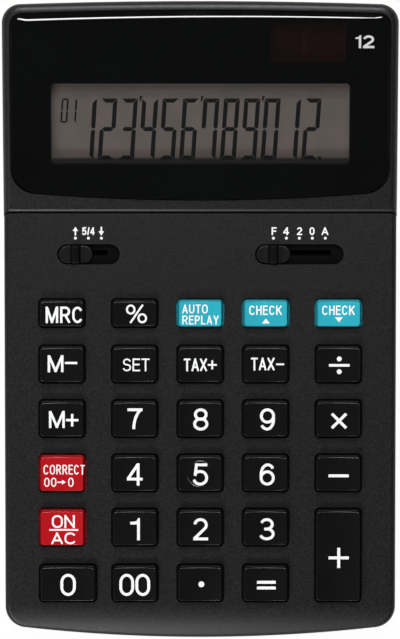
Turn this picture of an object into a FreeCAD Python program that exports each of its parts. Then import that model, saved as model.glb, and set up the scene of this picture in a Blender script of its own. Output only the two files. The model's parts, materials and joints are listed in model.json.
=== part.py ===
import FreeCAD, Part
import math
import os

Vector = FreeCAD.Vector

# A desktop calculator whose display head tilts up on two hinge pins.
# Lengths are millimetres. X runs to the right, Y to the display end and Z up.
# The origin is the bottom centre of the whole, on the surface that the feet stand on.

# Keys, as seen square to the keyboard
key_width = 13.7
key_depth = 11.05
function_key_depth = 8.2
zero_key_width = 17.1
key_rise = 2.8
key_travel = 1.5
key_corner = 1.1
key_top_inset = 0.45
key_top_rear_inset = 1.1
key_slope_height = 1.9
key_edge_round = 0.3
key_wall = 1.2
key_roof = 1.1
key_dish_depth = 0.55
key_flange_width = 0.8
key_flange_thickness = 0.8
key_post_radius = 1.6
finding_disc_radius = 4.1
finding_disc_height = 0.2

# Grid of the keys
column_pitch = 20.0
outer_column_pitch = 22.2
seam_to_first_row = 30.4
function_row_pitch = 15.6
row_pitch = 16.7
last_row_pitch = 17.2

# Keyboard part
side_margin = 10.8
front_margin = 17.04
keyboard_slope = 3.5
front_height = 11.9
front_roll_run = 11.0
front_roll_radius = 26.0
front_bow = 3.85
front_corner = 6.7
rear_corner = 5.7
case_edge_round = 1.6
case_wall = 2.0
floor_thickness = 2.0
floor_edge_round = 1.2
parting_height = 5.2
lower_case_step = 0.3
deck_wall = 1.8
rear_setback = 1.6

# Display head
head_overhang = 0.15
head_step = 0.3
head_run = 63.0
head_slope = 10.0
head_bow = 1.1
head_edge_round = 2.2
head_wall = 2.0
head_split_depth = 7.0
rear_cover_step = 0.25
head_lip_round = 0.55
hinge_back = 6.2
hinge_drop = 5.0
hinge_gap = 0.5
tilt_limit = 40.0

# Lens, its window and what lies under it
lens_margin_front = 3.4
lens_margin_rear = 3.2
lens_margin_side = 2.6
lens_thickness = 2.3
lens_proud = 0.7
lens_front_bow = 2.7
lens_front_corner = 7.5
lens_rear_corner = 3.8
lens_edge_round = 1.3
lens_gap = 0.3
tape_thickness = 0.2
tape_width = 1.4
tape_inset = 1.0
frame_plate = 1.5
window_width = 90.5
window_depth = 24.3
window_from_front = 26.45
window_margin = 1.2
window_corner = 1.0
lcd_side_margin = 3.75
lcd_edge_margin = 3.35
lcd_thickness = 2.2
solar_width = 25.0
solar_depth = 14.0
solar_thickness = 1.1
solar_from_front = 50.9
solar_from_middle = 32.6
solar_margin = 1.1
solar_corner = 0.8
connector_inset = 2.0
connector_depth = 2.4
connector_height = 2.6
display_board_inset = 0.5
display_board_depth = 38.0
display_board_margin = 0.8
board_thickness = 1.2
resin_radius = 6.0
resin_rise = 1.3
can_radius = 1.1
can_length = 5.0
chip_part_length = 2.0
chip_part_width = 1.2
chip_part_height = 0.6
chip_part_pitch = 3.2
crystal_length = 4.0
crystal_height = 1.4

# Hinge
tower_offset = 38.0
tower_width = 5.0
tower_neck = 4.4
tower_radius = 2.6
tower_side_gap = 0.4
cheek_thickness = 2.0
hinge_pin_radius = 1.2
hinge_pin_clearance = 0.04
washer_thickness = 0.25
washer_radius = 2.4
slot_spare_angle = 7.0

# Switches
switch_from_seam = 12.5
switch_pocket_width = 6.2
switch_pocket_depth = 1.5
switch_pitch = 3.95
rounding_steps = 2
decimal_steps = 4
rounding_switch_x = -34.1
decimal_switch_x = 30.2
knob_length = 10.2
knob_width = 5.5
knob_plate = 1.1
knob_end_gap = 0.55
knob_ridge_length = 2.9
knob_ridge_width = 5.2
knob_ridge_height = 2.0
knob_ridge_crest = 1.8
knob_ridge_corner = 0.5
knob_stem_length = 3.4
knob_stem_width = 2.2
knob_carrier_length = 7.0
knob_carrier_width = 5.0
knob_carrier_thickness = 1.0
slit_clearance = 0.25
pocket_rim = 1.8
wiper_thickness = 0.25
wiper_width = 3.0
wiper_foot = 0.8
wiper_lean = 0.15
wiper_gap = 0.03

# Boards, membrane, screws and feet
key_gap = 0.5
running_gap = 0.1
membrane_thickness = 0.7
dome_spare = 0.5
dome_base_radius = 3.3
dome_top_radius = 2.2
dome_wall = 0.6
board_rear_inset = 6.0
board_side_gap = 0.3
board_front_spare = 7.9
membrane_side_inset = 0.4
membrane_front_inset = 0.6
membrane_rear_inset = 17.0
board_post_radius = 2.3
board_screw_radius = 0.9
board_screw_head = 1.9
board_screw_head_height = 1.1
board_screw_length = 4.6
post_hole_gap = 0.4
case_post_radius = 2.7
case_post_inset = 6.0
case_post_rear_inset = 18.0
case_screw_radius = 1.2
case_screw_head = 2.3
case_screw_head_height = 1.4
case_screw_bite = 5.0
screw_clearance = 0.05
screw_tip_gap = 0.3
screw_seat_gap = 0.15
screw_slot = 0.5
screw_pillar_radius = 3.2
screw_edge_share = 0.45
screw_recess_share = 0.55
screw_recess_depth_share = 0.6
head_screw_from_front = 7.7
head_screw_from_rear = 12.0
head_post_radius = 2.9
head_post_inset = 5.4
foot_edge_round = 0.4
foot_radius = 4.5
foot_height = 1.9
foot_proud = 1.2
foot_inset_x = 15.4
foot_inset_front = 12.5
foot_inset_rear = 10.0

# Battery compartment, under the rear deck
cell_radius = 5.8
cell_height = 5.3
cell_step = 0.5
cell_clearance = 0.2
cup_wall = 1.2
battery_x = -24.0
battery_from_rear = 15.4
door_width = 22.0
door_reach = 28.0
door_thickness = 1.5
door_tongue = 1.0
door_tongue_thickness = 0.7
door_grip_from_rear = 8.0
door_grip_length = 13.0
door_grip_count = 6
door_grip_pitch = 1.6
door_grip_width = 0.8
door_grip_depth = 0.3
platform_height = 1.2
contact_thickness = 0.3
contact_width = 4.0
contact_tab = 3.4
cell_cap_inset = 1.4
lead_radius = 0.42
lead_side_gap = 1.5
solar_lead_offset = 6.0

# Ribbon between the boards
ribbon_width = 14.0
ribbon_thickness = 0.3
ribbon_slot_spare = 1.2
ribbon_overlap = 3.0

# Sizes that follow from the ones above
last_column = column_pitch + outer_column_pitch
column_x = [-last_column, -column_pitch, 0.0, column_pitch, last_column]
case_half = last_column + key_width / 2 + side_margin
head_half = case_half + head_overhang
row_y = [-seam_to_first_row]
row_y.append(row_y[0] - function_row_pitch)
row_y.append(row_y[1] - row_pitch)
row_y.append(row_y[2] - row_pitch)
row_y.append(row_y[3] - row_pitch)
row_y.append(row_y[4] - last_row_pitch)
keyboard_tan = math.tan(math.radians(keyboard_slope))
keyboard_cos = math.cos(math.radians(keyboard_slope))
head_tan = math.tan(math.radians(head_slope))
head_cos = math.cos(math.radians(head_slope))
head_sin = math.sin(math.radians(head_slope))
barrel_radius = math.hypot(hinge_back, hinge_drop)
trough_radius = barrel_radius + hinge_gap
seam_gap = math.sqrt(trough_radius ** 2 - (hinge_drop - head_step) ** 2) - hinge_back
keyboard_run = -row_y[5] * keyboard_cos + front_margin
total_length = keyboard_run + seam_gap + head_run
front_y = -total_length / 2
rear_y = total_length / 2
seam_y = front_y + keyboard_run
roll_start_y = front_y + front_roll_run
seam_z = front_height + (seam_y - roll_start_y) * keyboard_tan
lip_y = seam_y + seam_gap
lip_z = seam_z + head_step
hinge_y = lip_y + hinge_back
hinge_z = lip_z - hinge_drop
floor_z = foot_proud
floor_top = floor_z + floor_thickness
case_rear_y = rear_y - rear_setback
key_flange_top = -case_wall - running_gap
key_bottom = key_flange_top - key_flange_thickness
dome_top = key_bottom - running_gap
membrane_top = dome_top - key_travel - dome_spare
board_top = membrane_top - membrane_thickness
board_bottom = board_top - board_thickness
head_thickness = barrel_radius + hinge_back * head_sin + hinge_drop * head_cos
lens_bottom = lens_proud - lens_thickness
plate_top = lens_bottom - tape_thickness
plate_bottom = plate_top - frame_plate
lcd_top = plate_bottom - running_gap
display_board_top = lcd_top - lcd_thickness - connector_height
display_board_bottom = display_board_top - board_thickness
lcd_width = window_width + 2 * lcd_side_margin
lcd_depth = window_depth + 2 * lcd_edge_margin
display_board_front = window_from_front - lcd_depth / 2 - display_board_margin
board_half = case_half - case_post_inset - screw_pillar_radius - board_side_gap
head_depth = (rear_y - lip_y) / head_cos
head_front_y = hinge_y - 2 * barrel_radius
high = total_length / 2
cut_spare = 5.0
rim_inset = 0.05


def fuse_all(shapes):
    """One shape from many."""
    return shapes[0].fuse(shapes[1:]).removeSplitter()


def box(x0, x1, y0, y1, z0, z1):
    """A block between two corners."""
    return Part.makeBox(x1 - x0, y1 - y0, z1 - z0, Vector(x0, y0, z0))


def rod(radius, x, y, z0, z1):
    """An upright cylinder."""
    return Part.makeCylinder(radius, z1 - z0, Vector(x, y, z0))


def cross_rod(radius, x0, x1, y, z):
    """A cylinder along X."""
    return Part.makeCylinder(radius, x1 - x0, Vector(x0, y, z), Vector(1, 0, 0))


def arc(a, b, c):
    """The edge of a circle through three points."""
    return Part.Arc(a, b, c).toShape()


def line(a, b):
    """A straight edge."""
    return Part.LineSegment(a, b).toShape()


def rounded_outline(width, depth, radius, x, y, z):
    """A level rectangle with round corners."""
    x0 = x - width / 2
    x1 = x + width / 2
    y0 = y - depth / 2
    y1 = y + depth / 2
    r = radius
    k = radius * (1 - math.sqrt(0.5))
    edges = [
        line(Vector(x0 + r, y0, z), Vector(x1 - r, y0, z)),
        arc(Vector(x1 - r, y0, z), Vector(x1 - k, y0 + k, z), Vector(x1, y0 + r, z)),
        line(Vector(x1, y0 + r, z), Vector(x1, y1 - r, z)),
        arc(Vector(x1, y1 - r, z), Vector(x1 - k, y1 - k, z), Vector(x1 - r, y1, z)),
        line(Vector(x1 - r, y1, z), Vector(x0 + r, y1, z)),
        arc(Vector(x0 + r, y1, z), Vector(x0 + k, y1 - k, z), Vector(x0, y1 - r, z)),
        line(Vector(x0, y1 - r, z), Vector(x0, y0 + r, z)),
        arc(Vector(x0, y0 + r, z), Vector(x0 + k, y0 + k, z), Vector(x0 + r, y0, z)),
    ]
    return Part.Wire(edges)


def rounded_block(width, depth, radius, x, y, z0, z1):
    """An upright block with round corners."""
    face = Part.Face(rounded_outline(width, depth, radius, x, y, z0))
    return face.extrude(Vector(0, 0, z1 - z0))


def stadium(length, width, x, y, z0, z1):
    """A block along X with half round ends."""
    half = (length - width) / 2
    middle = box(x - half, x + half, y - width / 2, y + width / 2, z0, z1)
    left = rod(width / 2, x - half, y, z0, z1)
    right = rod(width / 2, x + half, y, z0, z1)
    return fuse_all([middle, left, right])


def side_slab(points, x0, x1):
    """A polygon in the YZ plane, drawn out along X."""
    corners = [Vector(x0, y, z) for y, z in points]
    face = Part.Face(Part.makePolygon(corners + corners[:1]))
    return face.extrude(Vector(x1 - x0, 0, 0))


def upright_edges(solid):
    """Edges that run straight up, with their X and Y."""
    found = []
    for edge in solid.Edges:
        a = edge.Vertexes[0].Point
        b = edge.Vertexes[-1].Point
        if abs(a.x - b.x) < 1e-6 and abs(a.y - b.y) < 1e-6:
            found.append(edge)
    return found


def plan_block(half, y0, bow0, r0, y1, bow1, r1, z0, z1):
    """A block whose front and rear edges bow outwards, with round corners."""
    corners = [
        Vector(-half, y0 + bow0, z0),
        Vector(half, y0 + bow0, z0),
        Vector(half, y1 - bow1, z0),
        Vector(-half, y1 - bow1, z0),
    ]
    front = arc(corners[0], Vector(0, y0, z0), corners[1]) if bow0 > 0 else line(corners[0], corners[1])
    edges = [
        front,
        line(corners[1], corners[2]),
        arc(corners[2], Vector(0, y1, z0), corners[3]),
        line(corners[3], corners[0]),
    ]
    block = Part.Face(Part.Wire(edges)).extrude(Vector(0, 0, z1 - z0))
    middle = (y0 + y1) / 2
    for radius, at_front in ((r0, True), (r1, False)):
        if radius > 0:
            ends = [e for e in upright_edges(block) if (e.Vertexes[0].Y < middle) == at_front]
            block = block.makeFillet(radius, ends)
    return block


def on_keyboard(shape):
    """Move a shape from keyboard coordinates, square to the keyboard, to its place."""
    shape.rotate(Vector(0, 0, 0), Vector(1, 0, 0), keyboard_slope)
    shape.translate(Vector(0, seam_y, seam_z))
    return shape


def on_head(shape):
    """Move a shape from head coordinates, square to the head's top, to its place."""
    shape.rotate(Vector(0, 0, 0), Vector(1, 0, 0), head_slope)
    shape.translate(Vector(0, lip_y, lip_z))
    return shape


def case_block(inset, z0, z1, low_step=0.0):
    """The keyboard part's plan, drawn up and set in from its outline."""
    return plan_block(
        case_half - inset - low_step,
        front_y + inset + low_step,
        front_bow,
        front_corner - inset,
        case_rear_y - inset - low_step,
        head_bow,
        rear_corner - inset,
        z0,
        z1,
    )


def under_keyboard(depth):
    """All that lies below the keyboard's top face and its rolled front, less a depth."""
    tilt = math.radians(keyboard_slope)
    ny = -math.sin(tilt)
    nz = math.cos(tilt)
    radius = front_roll_radius - depth
    centre_y = roll_start_y - ny * front_roll_radius
    centre_z = front_height - nz * front_roll_radius
    start = math.pi / 2 + tilt
    end_y = front_y - case_wall / 2
    end = math.pi - math.acos((centre_y - end_y) / radius)
    spots = []
    for angle in (start, (start + end) / 2, end):
        y = centre_y + radius * math.cos(angle)
        spots.append(Vector(-high, y, centre_z + radius * math.sin(angle)))
    back_y = rear_y + cut_spare
    back_z = spots[0].z + (back_y - spots[0].y) * keyboard_tan
    back_top = Vector(-high, back_y, back_z)
    back_low = Vector(-high, back_y, -cut_spare)
    front_low = Vector(-high, end_y, -cut_spare)
    edges = [
        arc(spots[2], spots[1], spots[0]),
        line(spots[0], back_top),
        line(back_top, back_low),
        line(back_low, front_low),
        line(front_low, spots[2]),
    ]
    return Part.Face(Part.Wire(edges)).extrude(Vector(2 * high, 0, 0))


def head_room(radius):
    """The trough round the hinge and the space over the rear deck, at a radius from the pins."""
    tilt = math.radians(head_slope)
    low_y = hinge_y + radius * math.sin(tilt)
    low_z = hinge_z - radius * math.cos(tilt)
    top = math.pi - math.asin((seam_z - hinge_z) / trough_radius)
    middle = (top + 1.5 * math.pi + tilt) / 2
    far_y = rear_y + cut_spare
    start = Vector(-high, hinge_y + radius * math.cos(top), hinge_z + radius * math.sin(top))
    through = Vector(-high, hinge_y + radius * math.cos(middle), hinge_z + radius * math.sin(middle))
    low = Vector(-high, low_y, low_z)
    far = Vector(-high, far_y, low_z + (far_y - low_y) * head_tan)
    edges = [
        arc(start, through, low),
        line(low, far),
        line(far, Vector(-high, far_y, high)),
        line(Vector(-high, far_y, high), Vector(-high, start.y, high)),
        line(Vector(-high, start.y, high), start),
    ]
    return Part.Face(Part.Wire(edges)).extrude(Vector(2 * high, 0, 0))


def rim_edges(solid, inner):
    """Edges of a solid that lie outside a second, slightly smaller one."""
    found = []
    for edge in solid.Edges:
        first = edge.FirstParameter
        span = edge.LastParameter - first
        spots = [edge.valueAt(first + span * share) for share in (0.1, 0.5, 0.9)]
        if not any(inner.isInside(spot, 1e-4, True) for spot in spots):
            found.append(edge)
    return found


def top_rim(solid, plan_inner, slab_inner):
    """Edges where a solid's upright walls meet its top faces."""
    outside_plan = rim_edges(solid, plan_inner)
    outside_slab = rim_edges(solid, slab_inner)
    return [e for e in outside_plan if any(e.isSame(other) for other in outside_slab)]


def case_outer():
    """The keyboard part's outside, before it is hollowed, with its rounded upper edges."""
    solid = case_block(0.0, floor_z, high).common(under_keyboard(0.0))
    plan_inner = case_block(rim_inset, floor_z - cut_spare, high + cut_spare)
    slab_inner = under_keyboard(rim_inset)
    solid = solid.makeFillet(case_edge_round, top_rim(solid, plan_inner, slab_inner))
    return solid.cut(head_room(trough_radius))


def case_inner():
    """The keyboard part's hollow."""
    hollow = case_block(case_wall, floor_top, high).common(under_keyboard(case_wall))
    return hollow.cut(head_room(trough_radius + deck_wall))


def keys_plan():
    """Each key's name, middle, width and depth, in keyboard coordinates."""
    names = [
        ["key_memory_recall", "key_percent", "key_auto_replay", "key_check_up", "key_check_down"],
        ["key_memory_minus", "key_set", "key_tax_plus", "key_tax_minus", "key_divide"],
        ["key_memory_plus", "key_seven", "key_eight", "key_nine", "key_multiply"],
        ["key_correct", "key_four", "key_five", "key_six", "key_minus"],
        ["key_on_clear", "key_one", "key_two", "key_three", "key_plus"],
        ["key_zero", "key_double_zero", "key_point", "key_equals"],
    ]
    plan = {}
    for row, row_names in enumerate(names):
        for column, name in enumerate(row_names):
            depth = function_key_depth if row == 0 else key_depth
            plan[name] = [column_x[column], row_y[row], key_width, depth]
    plan["key_zero"][0] = column_x[0] + (zero_key_width - key_width) / 2
    plan["key_zero"][2] = zero_key_width
    plan["key_plus"][1] = (row_y[4] + row_y[5]) / 2
    plan["key_plus"][3] = key_depth + row_y[4] - row_y[5]
    return plan


def key_form(width, depth, with_disc):
    """A key at the middle of the keyboard coordinates, its skirt rising from its flange.

    It has a straight skirt, leaning sides, a dished top, a flange and a post beneath.
    """
    shoulder = key_rise - key_slope_height
    foot = rounded_outline(width, depth, key_corner, 0.0, 0.0, shoulder)
    top_width = width - 2 * key_top_inset
    top_depth = depth - key_top_inset - key_top_rear_inset
    top_y = (key_top_inset - key_top_rear_inset) / 2
    brow_z = key_rise - key_edge_round
    brow = rounded_outline(top_width, top_depth, key_corner, 0.0, top_y, brow_z)
    face_width = top_width - 2 * key_edge_round
    face_depth = top_depth - 2 * key_edge_round
    head = rounded_outline(face_width, face_depth, key_corner, 0.0, top_y, key_rise)
    crown = Part.makeLoft([foot, brow, head], True, True)
    dish_radius = (face_width ** 2 / 4 + key_dish_depth ** 2) / (2 * key_dish_depth)
    start = Vector(0.0, -depth, key_rise - key_dish_depth + dish_radius)
    crown = crown.cut(Part.makeCylinder(dish_radius, 2 * depth, start, Vector(0, 1, 0)))
    if with_disc:
        disc_top = key_rise - key_dish_depth + finding_disc_height
        crown = crown.fuse(rod(finding_disc_radius, 0.0, top_y, key_rise - key_roof, disc_top))
    skirt = rounded_block(width, depth, key_corner, 0.0, 0.0, key_bottom, shoulder)
    flange_width = width + 2 * key_flange_width
    flange_depth = depth + 2 * key_flange_width
    flange = rounded_block(
        flange_width, flange_depth, key_corner, 0.0, 0.0, key_bottom, key_flange_top
    )
    hollow_top = key_rise - key_dish_depth - key_roof
    inner_width = width - 2 * key_wall
    inner_depth = depth - 2 * key_wall
    hollow = rounded_block(
        inner_width, inner_depth, key_corner / 2, 0.0, 0.0, key_bottom, hollow_top
    )
    key = fuse_all([crown, skirt, flange]).cut(hollow)
    return key.fuse(rod(key_post_radius, 0.0, 0.0, key_bottom, hollow_top))


def keys():
    """Each key by its name: keys of one size share a form."""
    forms = {}
    made = {}
    for name, (x, y, width, depth) in keys_plan().items():
        form = (width, depth, name == "key_five")
        if form not in forms:
            forms[form] = key_form(*form)
        key = forms[form].copy()
        key.translate(Vector(x, y, 0.0))
        made[name] = on_keyboard(key)
    return made


def key_opening(x, y, width, depth):
    """The hole in the upper case that a key moves in."""
    hole_width = width + 2 * key_gap
    hole_depth = depth + 2 * key_gap
    radius = key_corner + key_gap
    return rounded_block(hole_width, hole_depth, radius, x, y, -case_wall - running_gap, cut_spare)


def board_post_places():
    """Where the keyboard board is screwed to the upper case, between the columns of keys."""
    x = (last_column + column_pitch) / 2
    rows = [
        row_y[0] + function_key_depth,
        (row_y[2] + row_y[3]) / 2,
        (row_y[4] + row_y[5]) / 2,
    ]
    return [(side * x, y) for side in (-1, 1) for y in rows]


def case_post_places():
    """Where the two halves of the case are screwed together, as X and Y."""
    x = case_half - case_post_inset
    front = seam_y + row_y[5] * keyboard_cos
    middle = seam_y + row_y[0] * keyboard_cos / 2
    rear = case_rear_y - case_post_rear_inset
    return [(side * x, y) for side in (-1, 1) for y in (front, middle, rear)]


def switches():
    """Each switch's name, middle, steps and knob place at rest, in keyboard coordinates."""
    return [
        ("rounding_switch", rounding_switch_x, rounding_steps),
        ("decimal_switch", decimal_switch_x, decimal_steps),
    ]


def pocket_length(steps):
    """A switch pocket's length, from its knob's length and travel."""
    return knob_length + steps * switch_pitch + 2 * knob_end_gap


def knob_start(middle, steps):
    """The knob's middle when it stands at the left end."""
    return middle - steps * switch_pitch / 2


def tower(side):
    """An ear that rises from the trough and holds a hinge pin."""
    x = side * tower_offset
    x0 = x - tower_width / 2
    x1 = x + tower_width / 2
    foot_z = hinge_z - trough_radius - deck_wall / 2
    neck = box(x0, x1, hinge_y - tower_neck / 2, hinge_y + tower_neck / 2, foot_z, hinge_z)
    boss = cross_rod(tower_radius, x0, x1, hinge_y, hinge_z)
    return neck.fuse(boss)


def upper_case():
    """The top shell: keyboard face, side walls, trough, rear deck, towers and posts."""
    shell = case_outer().cut(case_inner())
    tray_space = case_block(-running_gap, 0.0, parting_height)
    inside = case_block(case_wall + running_gap, floor_top + running_gap, parting_height + cut_spare)
    shell = shell.cut(tray_space.cut(inside))
    posts = []
    for x, y in case_post_places():
        post = rod(case_post_radius, x, y, parting_height, high / 2)
        posts.append(post.common(case_outer_room()))
    for x, y in board_post_places():
        posts.append(on_keyboard(rod(board_post_radius, x, y, board_top, -case_wall / 2)))
    width = switch_pocket_width + 2 * pocket_rim
    depth = switch_pocket_depth + case_wall / 2
    for name, middle, steps in switches():
        length = pocket_length(steps) + 2 * pocket_rim
        rim = stadium(length, width, middle, -switch_from_seam, -depth, -case_wall / 2)
        posts.append(on_keyboard(rim))
    for side in (-1, 1):
        posts.append(tower(side))
    holes = [ribbon_way()]
    for x, y, width, depth in keys_plan().values():
        holes.append(on_keyboard(key_opening(x, y, width, depth)))
    y = -switch_from_seam
    for name, middle, steps in switches():
        length = pocket_length(steps)
        pocket = stadium(length, switch_pocket_width, middle, y, -switch_pocket_depth, cut_spare)
        slit_reach = (knob_stem_length + steps * switch_pitch) / 2 + slit_clearance
        slit_half = knob_stem_width / 2 + slit_clearance
        slit_low = -switch_pocket_depth - case_wall
        slit = box(middle - slit_reach, middle + slit_reach, y - slit_half, y + slit_half, slit_low, 0.0)
        holes.append(on_keyboard(pocket))
        holes.append(on_keyboard(slit))
    hole_top = parting_height + case_screw_bite + screw_tip_gap
    for x, y in case_post_places():
        holes.append(rod(case_screw_radius + screw_clearance, x, y, 0.0, hole_top))
    hole_top = board_bottom + board_screw_length + screw_tip_gap
    for x, y in board_post_places():
        hole = rod(board_screw_radius + screw_clearance, x, y, board_bottom, hole_top)
        holes.append(on_keyboard(hole))
    for side in (-1, 1):
        x = side * tower_offset
        holes.append(cross_rod(hinge_pin_radius, x - tower_width, x + tower_width, hinge_y, hinge_z))
    return fuse_all([shell] + posts).cut(holes)


def case_outer_room():
    """The inside of the case as far as half the thickness of its walls."""
    room = case_block(case_wall / 2, floor_z, high).common(under_keyboard(case_wall / 2))
    return room.cut(head_room(trough_radius + deck_wall / 2))


def ribbon_way():
    """The slit in the trough's floor that the ribbon comes up through."""
    half = ribbon_width / 2 + ribbon_slot_spare
    y0 = hinge_y - ribbon_slot_spare
    y1 = hinge_y + ribbon_thickness + ribbon_slot_spare
    return box(-half, half, y0, y1, floor_top, hinge_z)


def door_channel(clearance):
    """The space that the battery door slides in, with its side grooves."""
    y0 = case_rear_y - door_reach - clearance
    half = door_width / 2 + clearance
    wide = half + door_tongue
    rear = rear_y + cut_spare
    top = floor_z + door_thickness + clearance
    groove_low = top - door_tongue_thickness - 2 * clearance
    slot = box(battery_x - half, battery_x + half, y0, rear, 0.0, top)
    groove = box(battery_x - wide, battery_x + wide, y0, rear, groove_low, top)
    return slot.fuse(groove)


def battery_y():
    """The middle of the battery compartment."""
    return case_rear_y - battery_from_rear


def lower_case():
    """The bottom shell, with pillars for screws, seats for feet and the battery cup."""
    outer = case_block(0.0, floor_z, parting_height, lower_case_step)
    bottom = [e for e in outer.Edges if max(v.Z for v in e.Vertexes) < floor_z + 0.01]
    outer = outer.makeFillet(floor_edge_round, bottom)
    shell = outer.cut(case_block(case_wall, floor_top, high))
    pieces = [shell]
    for x, y in case_post_places():
        pieces.append(rod(screw_pillar_radius, x, y, floor_z + floor_thickness / 2, parting_height))
    battery_mid = battery_y()
    half = door_width / 2 + door_tongue + cup_wall
    y0 = case_rear_y - door_reach - cup_wall
    y1 = case_rear_y - case_wall
    platform_low = floor_z + floor_thickness / 2
    platform_top = floor_top + platform_height
    pieces.append(box(battery_x - half, battery_x + half, y0, y1, platform_low, platform_top))
    cup_radius = cell_radius + cell_clearance + cup_wall
    cup_top = cell_bottom() + cell_height
    pieces.append(rod(cup_radius, battery_x, battery_mid, floor_top, cup_top))
    notch_half = contact_width / 2 + running_gap
    notch_end = battery_x + cup_radius + cup_wall
    y0 = battery_mid - notch_half
    y1 = battery_mid + notch_half
    holes = [
        door_channel(running_gap),
        rod(cell_radius + cell_clearance, battery_x, battery_mid, floor_z, high),
        box(battery_x, notch_end, y0, y1, platform_top, high),
    ]
    for x, y in case_post_places():
        holes.append(rod(case_screw_radius + screw_clearance, x, y, 0.0, high))
        holes.append(rod(case_screw_head + screw_seat_gap, x, y, 0.0, floor_top))
    for x, y in foot_places():
        holes.append(rod(foot_radius + screw_clearance, x, y, 0.0, foot_height))
    return fuse_all(pieces).cut(holes)


def cell_bottom():
    """The height that the button cell stands at, just over the door."""
    return floor_z + door_thickness + 2 * running_gap


def foot_places():
    """The middles of the four feet."""
    x = case_half - foot_inset_x
    front = front_y + foot_inset_front
    rear = case_rear_y - foot_inset_rear
    return [(side * x, y) for side in (-1, 1) for y in (front, rear)]


def feet():
    """Four rubber feet in round seats."""
    made = []
    for x, y in foot_places():
        foot = rod(foot_radius, x, y, 0.0, foot_height)
        low = [e for e in foot.Edges if max(v.Z for v in e.Vertexes) < 0.01]
        made.append(foot.makeFillet(foot_edge_round, low))
    return Part.makeCompound(made)


def screw(x, y, z, radius, head_radius, head_height, length):
    """A pan head screw that points up, with its head's under face at z and a cross recess."""
    shank = rod(radius, x, y, z, z + length)
    head = rod(head_radius, x, y, z - head_height, z)
    low = [e for e in head.Edges if max(v.Z for v in e.Vertexes) < z - head_height + 0.01]
    head = head.makeFillet(head_height * screw_edge_share, low)
    reach = head_radius * screw_recess_share
    deep = head_height * screw_recess_depth_share
    bottom = z - head_height
    half = screw_slot / 2
    across = box(x - reach, x + reach, y - half, y + half, bottom, bottom + deep)
    along = box(x - half, x + half, y - reach, y + reach, bottom, bottom + deep)
    return shank.fuse(head).cut(across.fuse(along)).removeSplitter()


def small_screw(x, y, z, length):
    """One of the small screws that hold the boards and the head."""
    return screw(x, y, z, board_screw_radius, board_screw_head, board_screw_head_height, length)


def case_screws():
    """Six screws that hold the two halves of the case together."""
    head = case_screw_head
    length = parting_height - floor_top + case_screw_bite
    made = []
    for x, y in case_post_places():
        made.append(screw(x, y, floor_top, case_screw_radius, head, case_screw_head_height, length))
    return Part.makeCompound(made)


def board_screws():
    """Six screws that hold the keyboard board against the posts."""
    made = []
    for x, y in board_post_places():
        made.append(on_keyboard(small_screw(x, y, board_bottom, board_screw_length)))
    return Part.makeCompound(made)


def main_board():
    """The keyboard's circuit board."""
    y0 = row_y[5] - board_front_spare
    board = box(-board_half, board_half, y0, -board_rear_inset, board_bottom, board_top)
    holes = []
    for x, y in board_post_places():
        holes.append(rod(board_screw_radius + screw_clearance, x, y, board_bottom, board_top))
    return on_keyboard(board.cut(holes))


def keypad_membrane():
    """The silicone sheet with a hollow dome under each key."""
    half = board_half - membrane_side_inset
    y0 = row_y[5] - board_front_spare + membrane_front_inset
    sheet = box(-half, half, y0, -membrane_rear_inset, board_top, membrane_top)
    domes = []
    hollows = []
    dome_height = dome_top - membrane_top
    hollow_height = dome_height + membrane_thickness - 2 * dome_wall
    base = dome_base_radius
    top = dome_top_radius
    for x, y, width, depth in keys_plan().values():
        domes.append(Part.makeCone(base, top, dome_height, Vector(x, y, membrane_top)))
        floor = Vector(x, y, board_top)
        hollows.append(Part.makeCone(base - dome_wall, top - dome_wall, hollow_height, floor))
    for x, y in board_post_places():
        hollows.append(rod(board_post_radius + post_hole_gap, x, y, board_top, membrane_top))
    return on_keyboard(fuse_all([sheet] + domes).cut(hollows))


def switch_knob(middle, steps):
    """A slide switch knob at the left end: plate, finger ridge, stem and carrier."""
    x = knob_start(middle, steps)
    y = -switch_from_seam
    low = -switch_pocket_depth + running_gap
    plate = stadium(knob_length, knob_width, x, y, low, low + knob_plate)
    top = low + knob_plate
    foot_z = top - knob_plate / 3
    crest_z = top + knob_ridge_height
    base = rounded_outline(knob_ridge_length, knob_ridge_width, knob_ridge_corner, x, y, foot_z)
    crest = rounded_outline(knob_ridge_crest, knob_ridge_width, knob_ridge_corner, x, y, crest_z)
    ridge = Part.makeLoft([base, crest], True, True)
    carrier_top = -switch_pocket_depth - case_wall / 2 - running_gap
    carrier_low = carrier_top - knob_carrier_thickness
    half = knob_stem_length / 2
    y0 = y - knob_stem_width / 2
    y1 = y + knob_stem_width / 2
    stem = box(x - half, x + half, y0, y1, carrier_low, low + knob_plate / 2)
    wide = knob_carrier_length / 2
    deep = knob_carrier_width / 2
    carrier = box(x - wide, x + wide, y - deep, y + deep, carrier_low, carrier_top)
    return on_keyboard(fuse_all([plate, ridge, stem, carrier]))


def switch_wiper(middle, steps):
    """The sprung contact under a knob, with two feet on the board."""
    x = knob_start(middle, steps)
    top = -switch_pocket_depth - case_wall / 2 - running_gap - knob_carrier_thickness
    half = knob_carrier_length / 2
    low = board_top + wiper_gap
    t = wiper_thickness
    foot = wiper_foot
    lean = wiper_lean
    outline = [
        (-half, low),
        (-half + foot, low),
        (-half + 2 * foot, top - t),
        (half - 2 * foot, top - t),
        (half - foot, low),
        (half, low),
        (half, low + t),
        (half - foot + lean, low + t),
        (half - 2 * foot + lean, top),
        (-half + 2 * foot - lean, top),
        (-half + foot - lean, low + t),
        (-half, low + t),
    ]
    y0 = -switch_from_seam - wiper_width / 2
    corners = [Vector(x + u, y0, w) for u, w in outline]
    face = Part.Face(Part.makePolygon(corners + corners[:1]))
    return on_keyboard(face.extrude(Vector(0, wiper_width, 0)))


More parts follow.
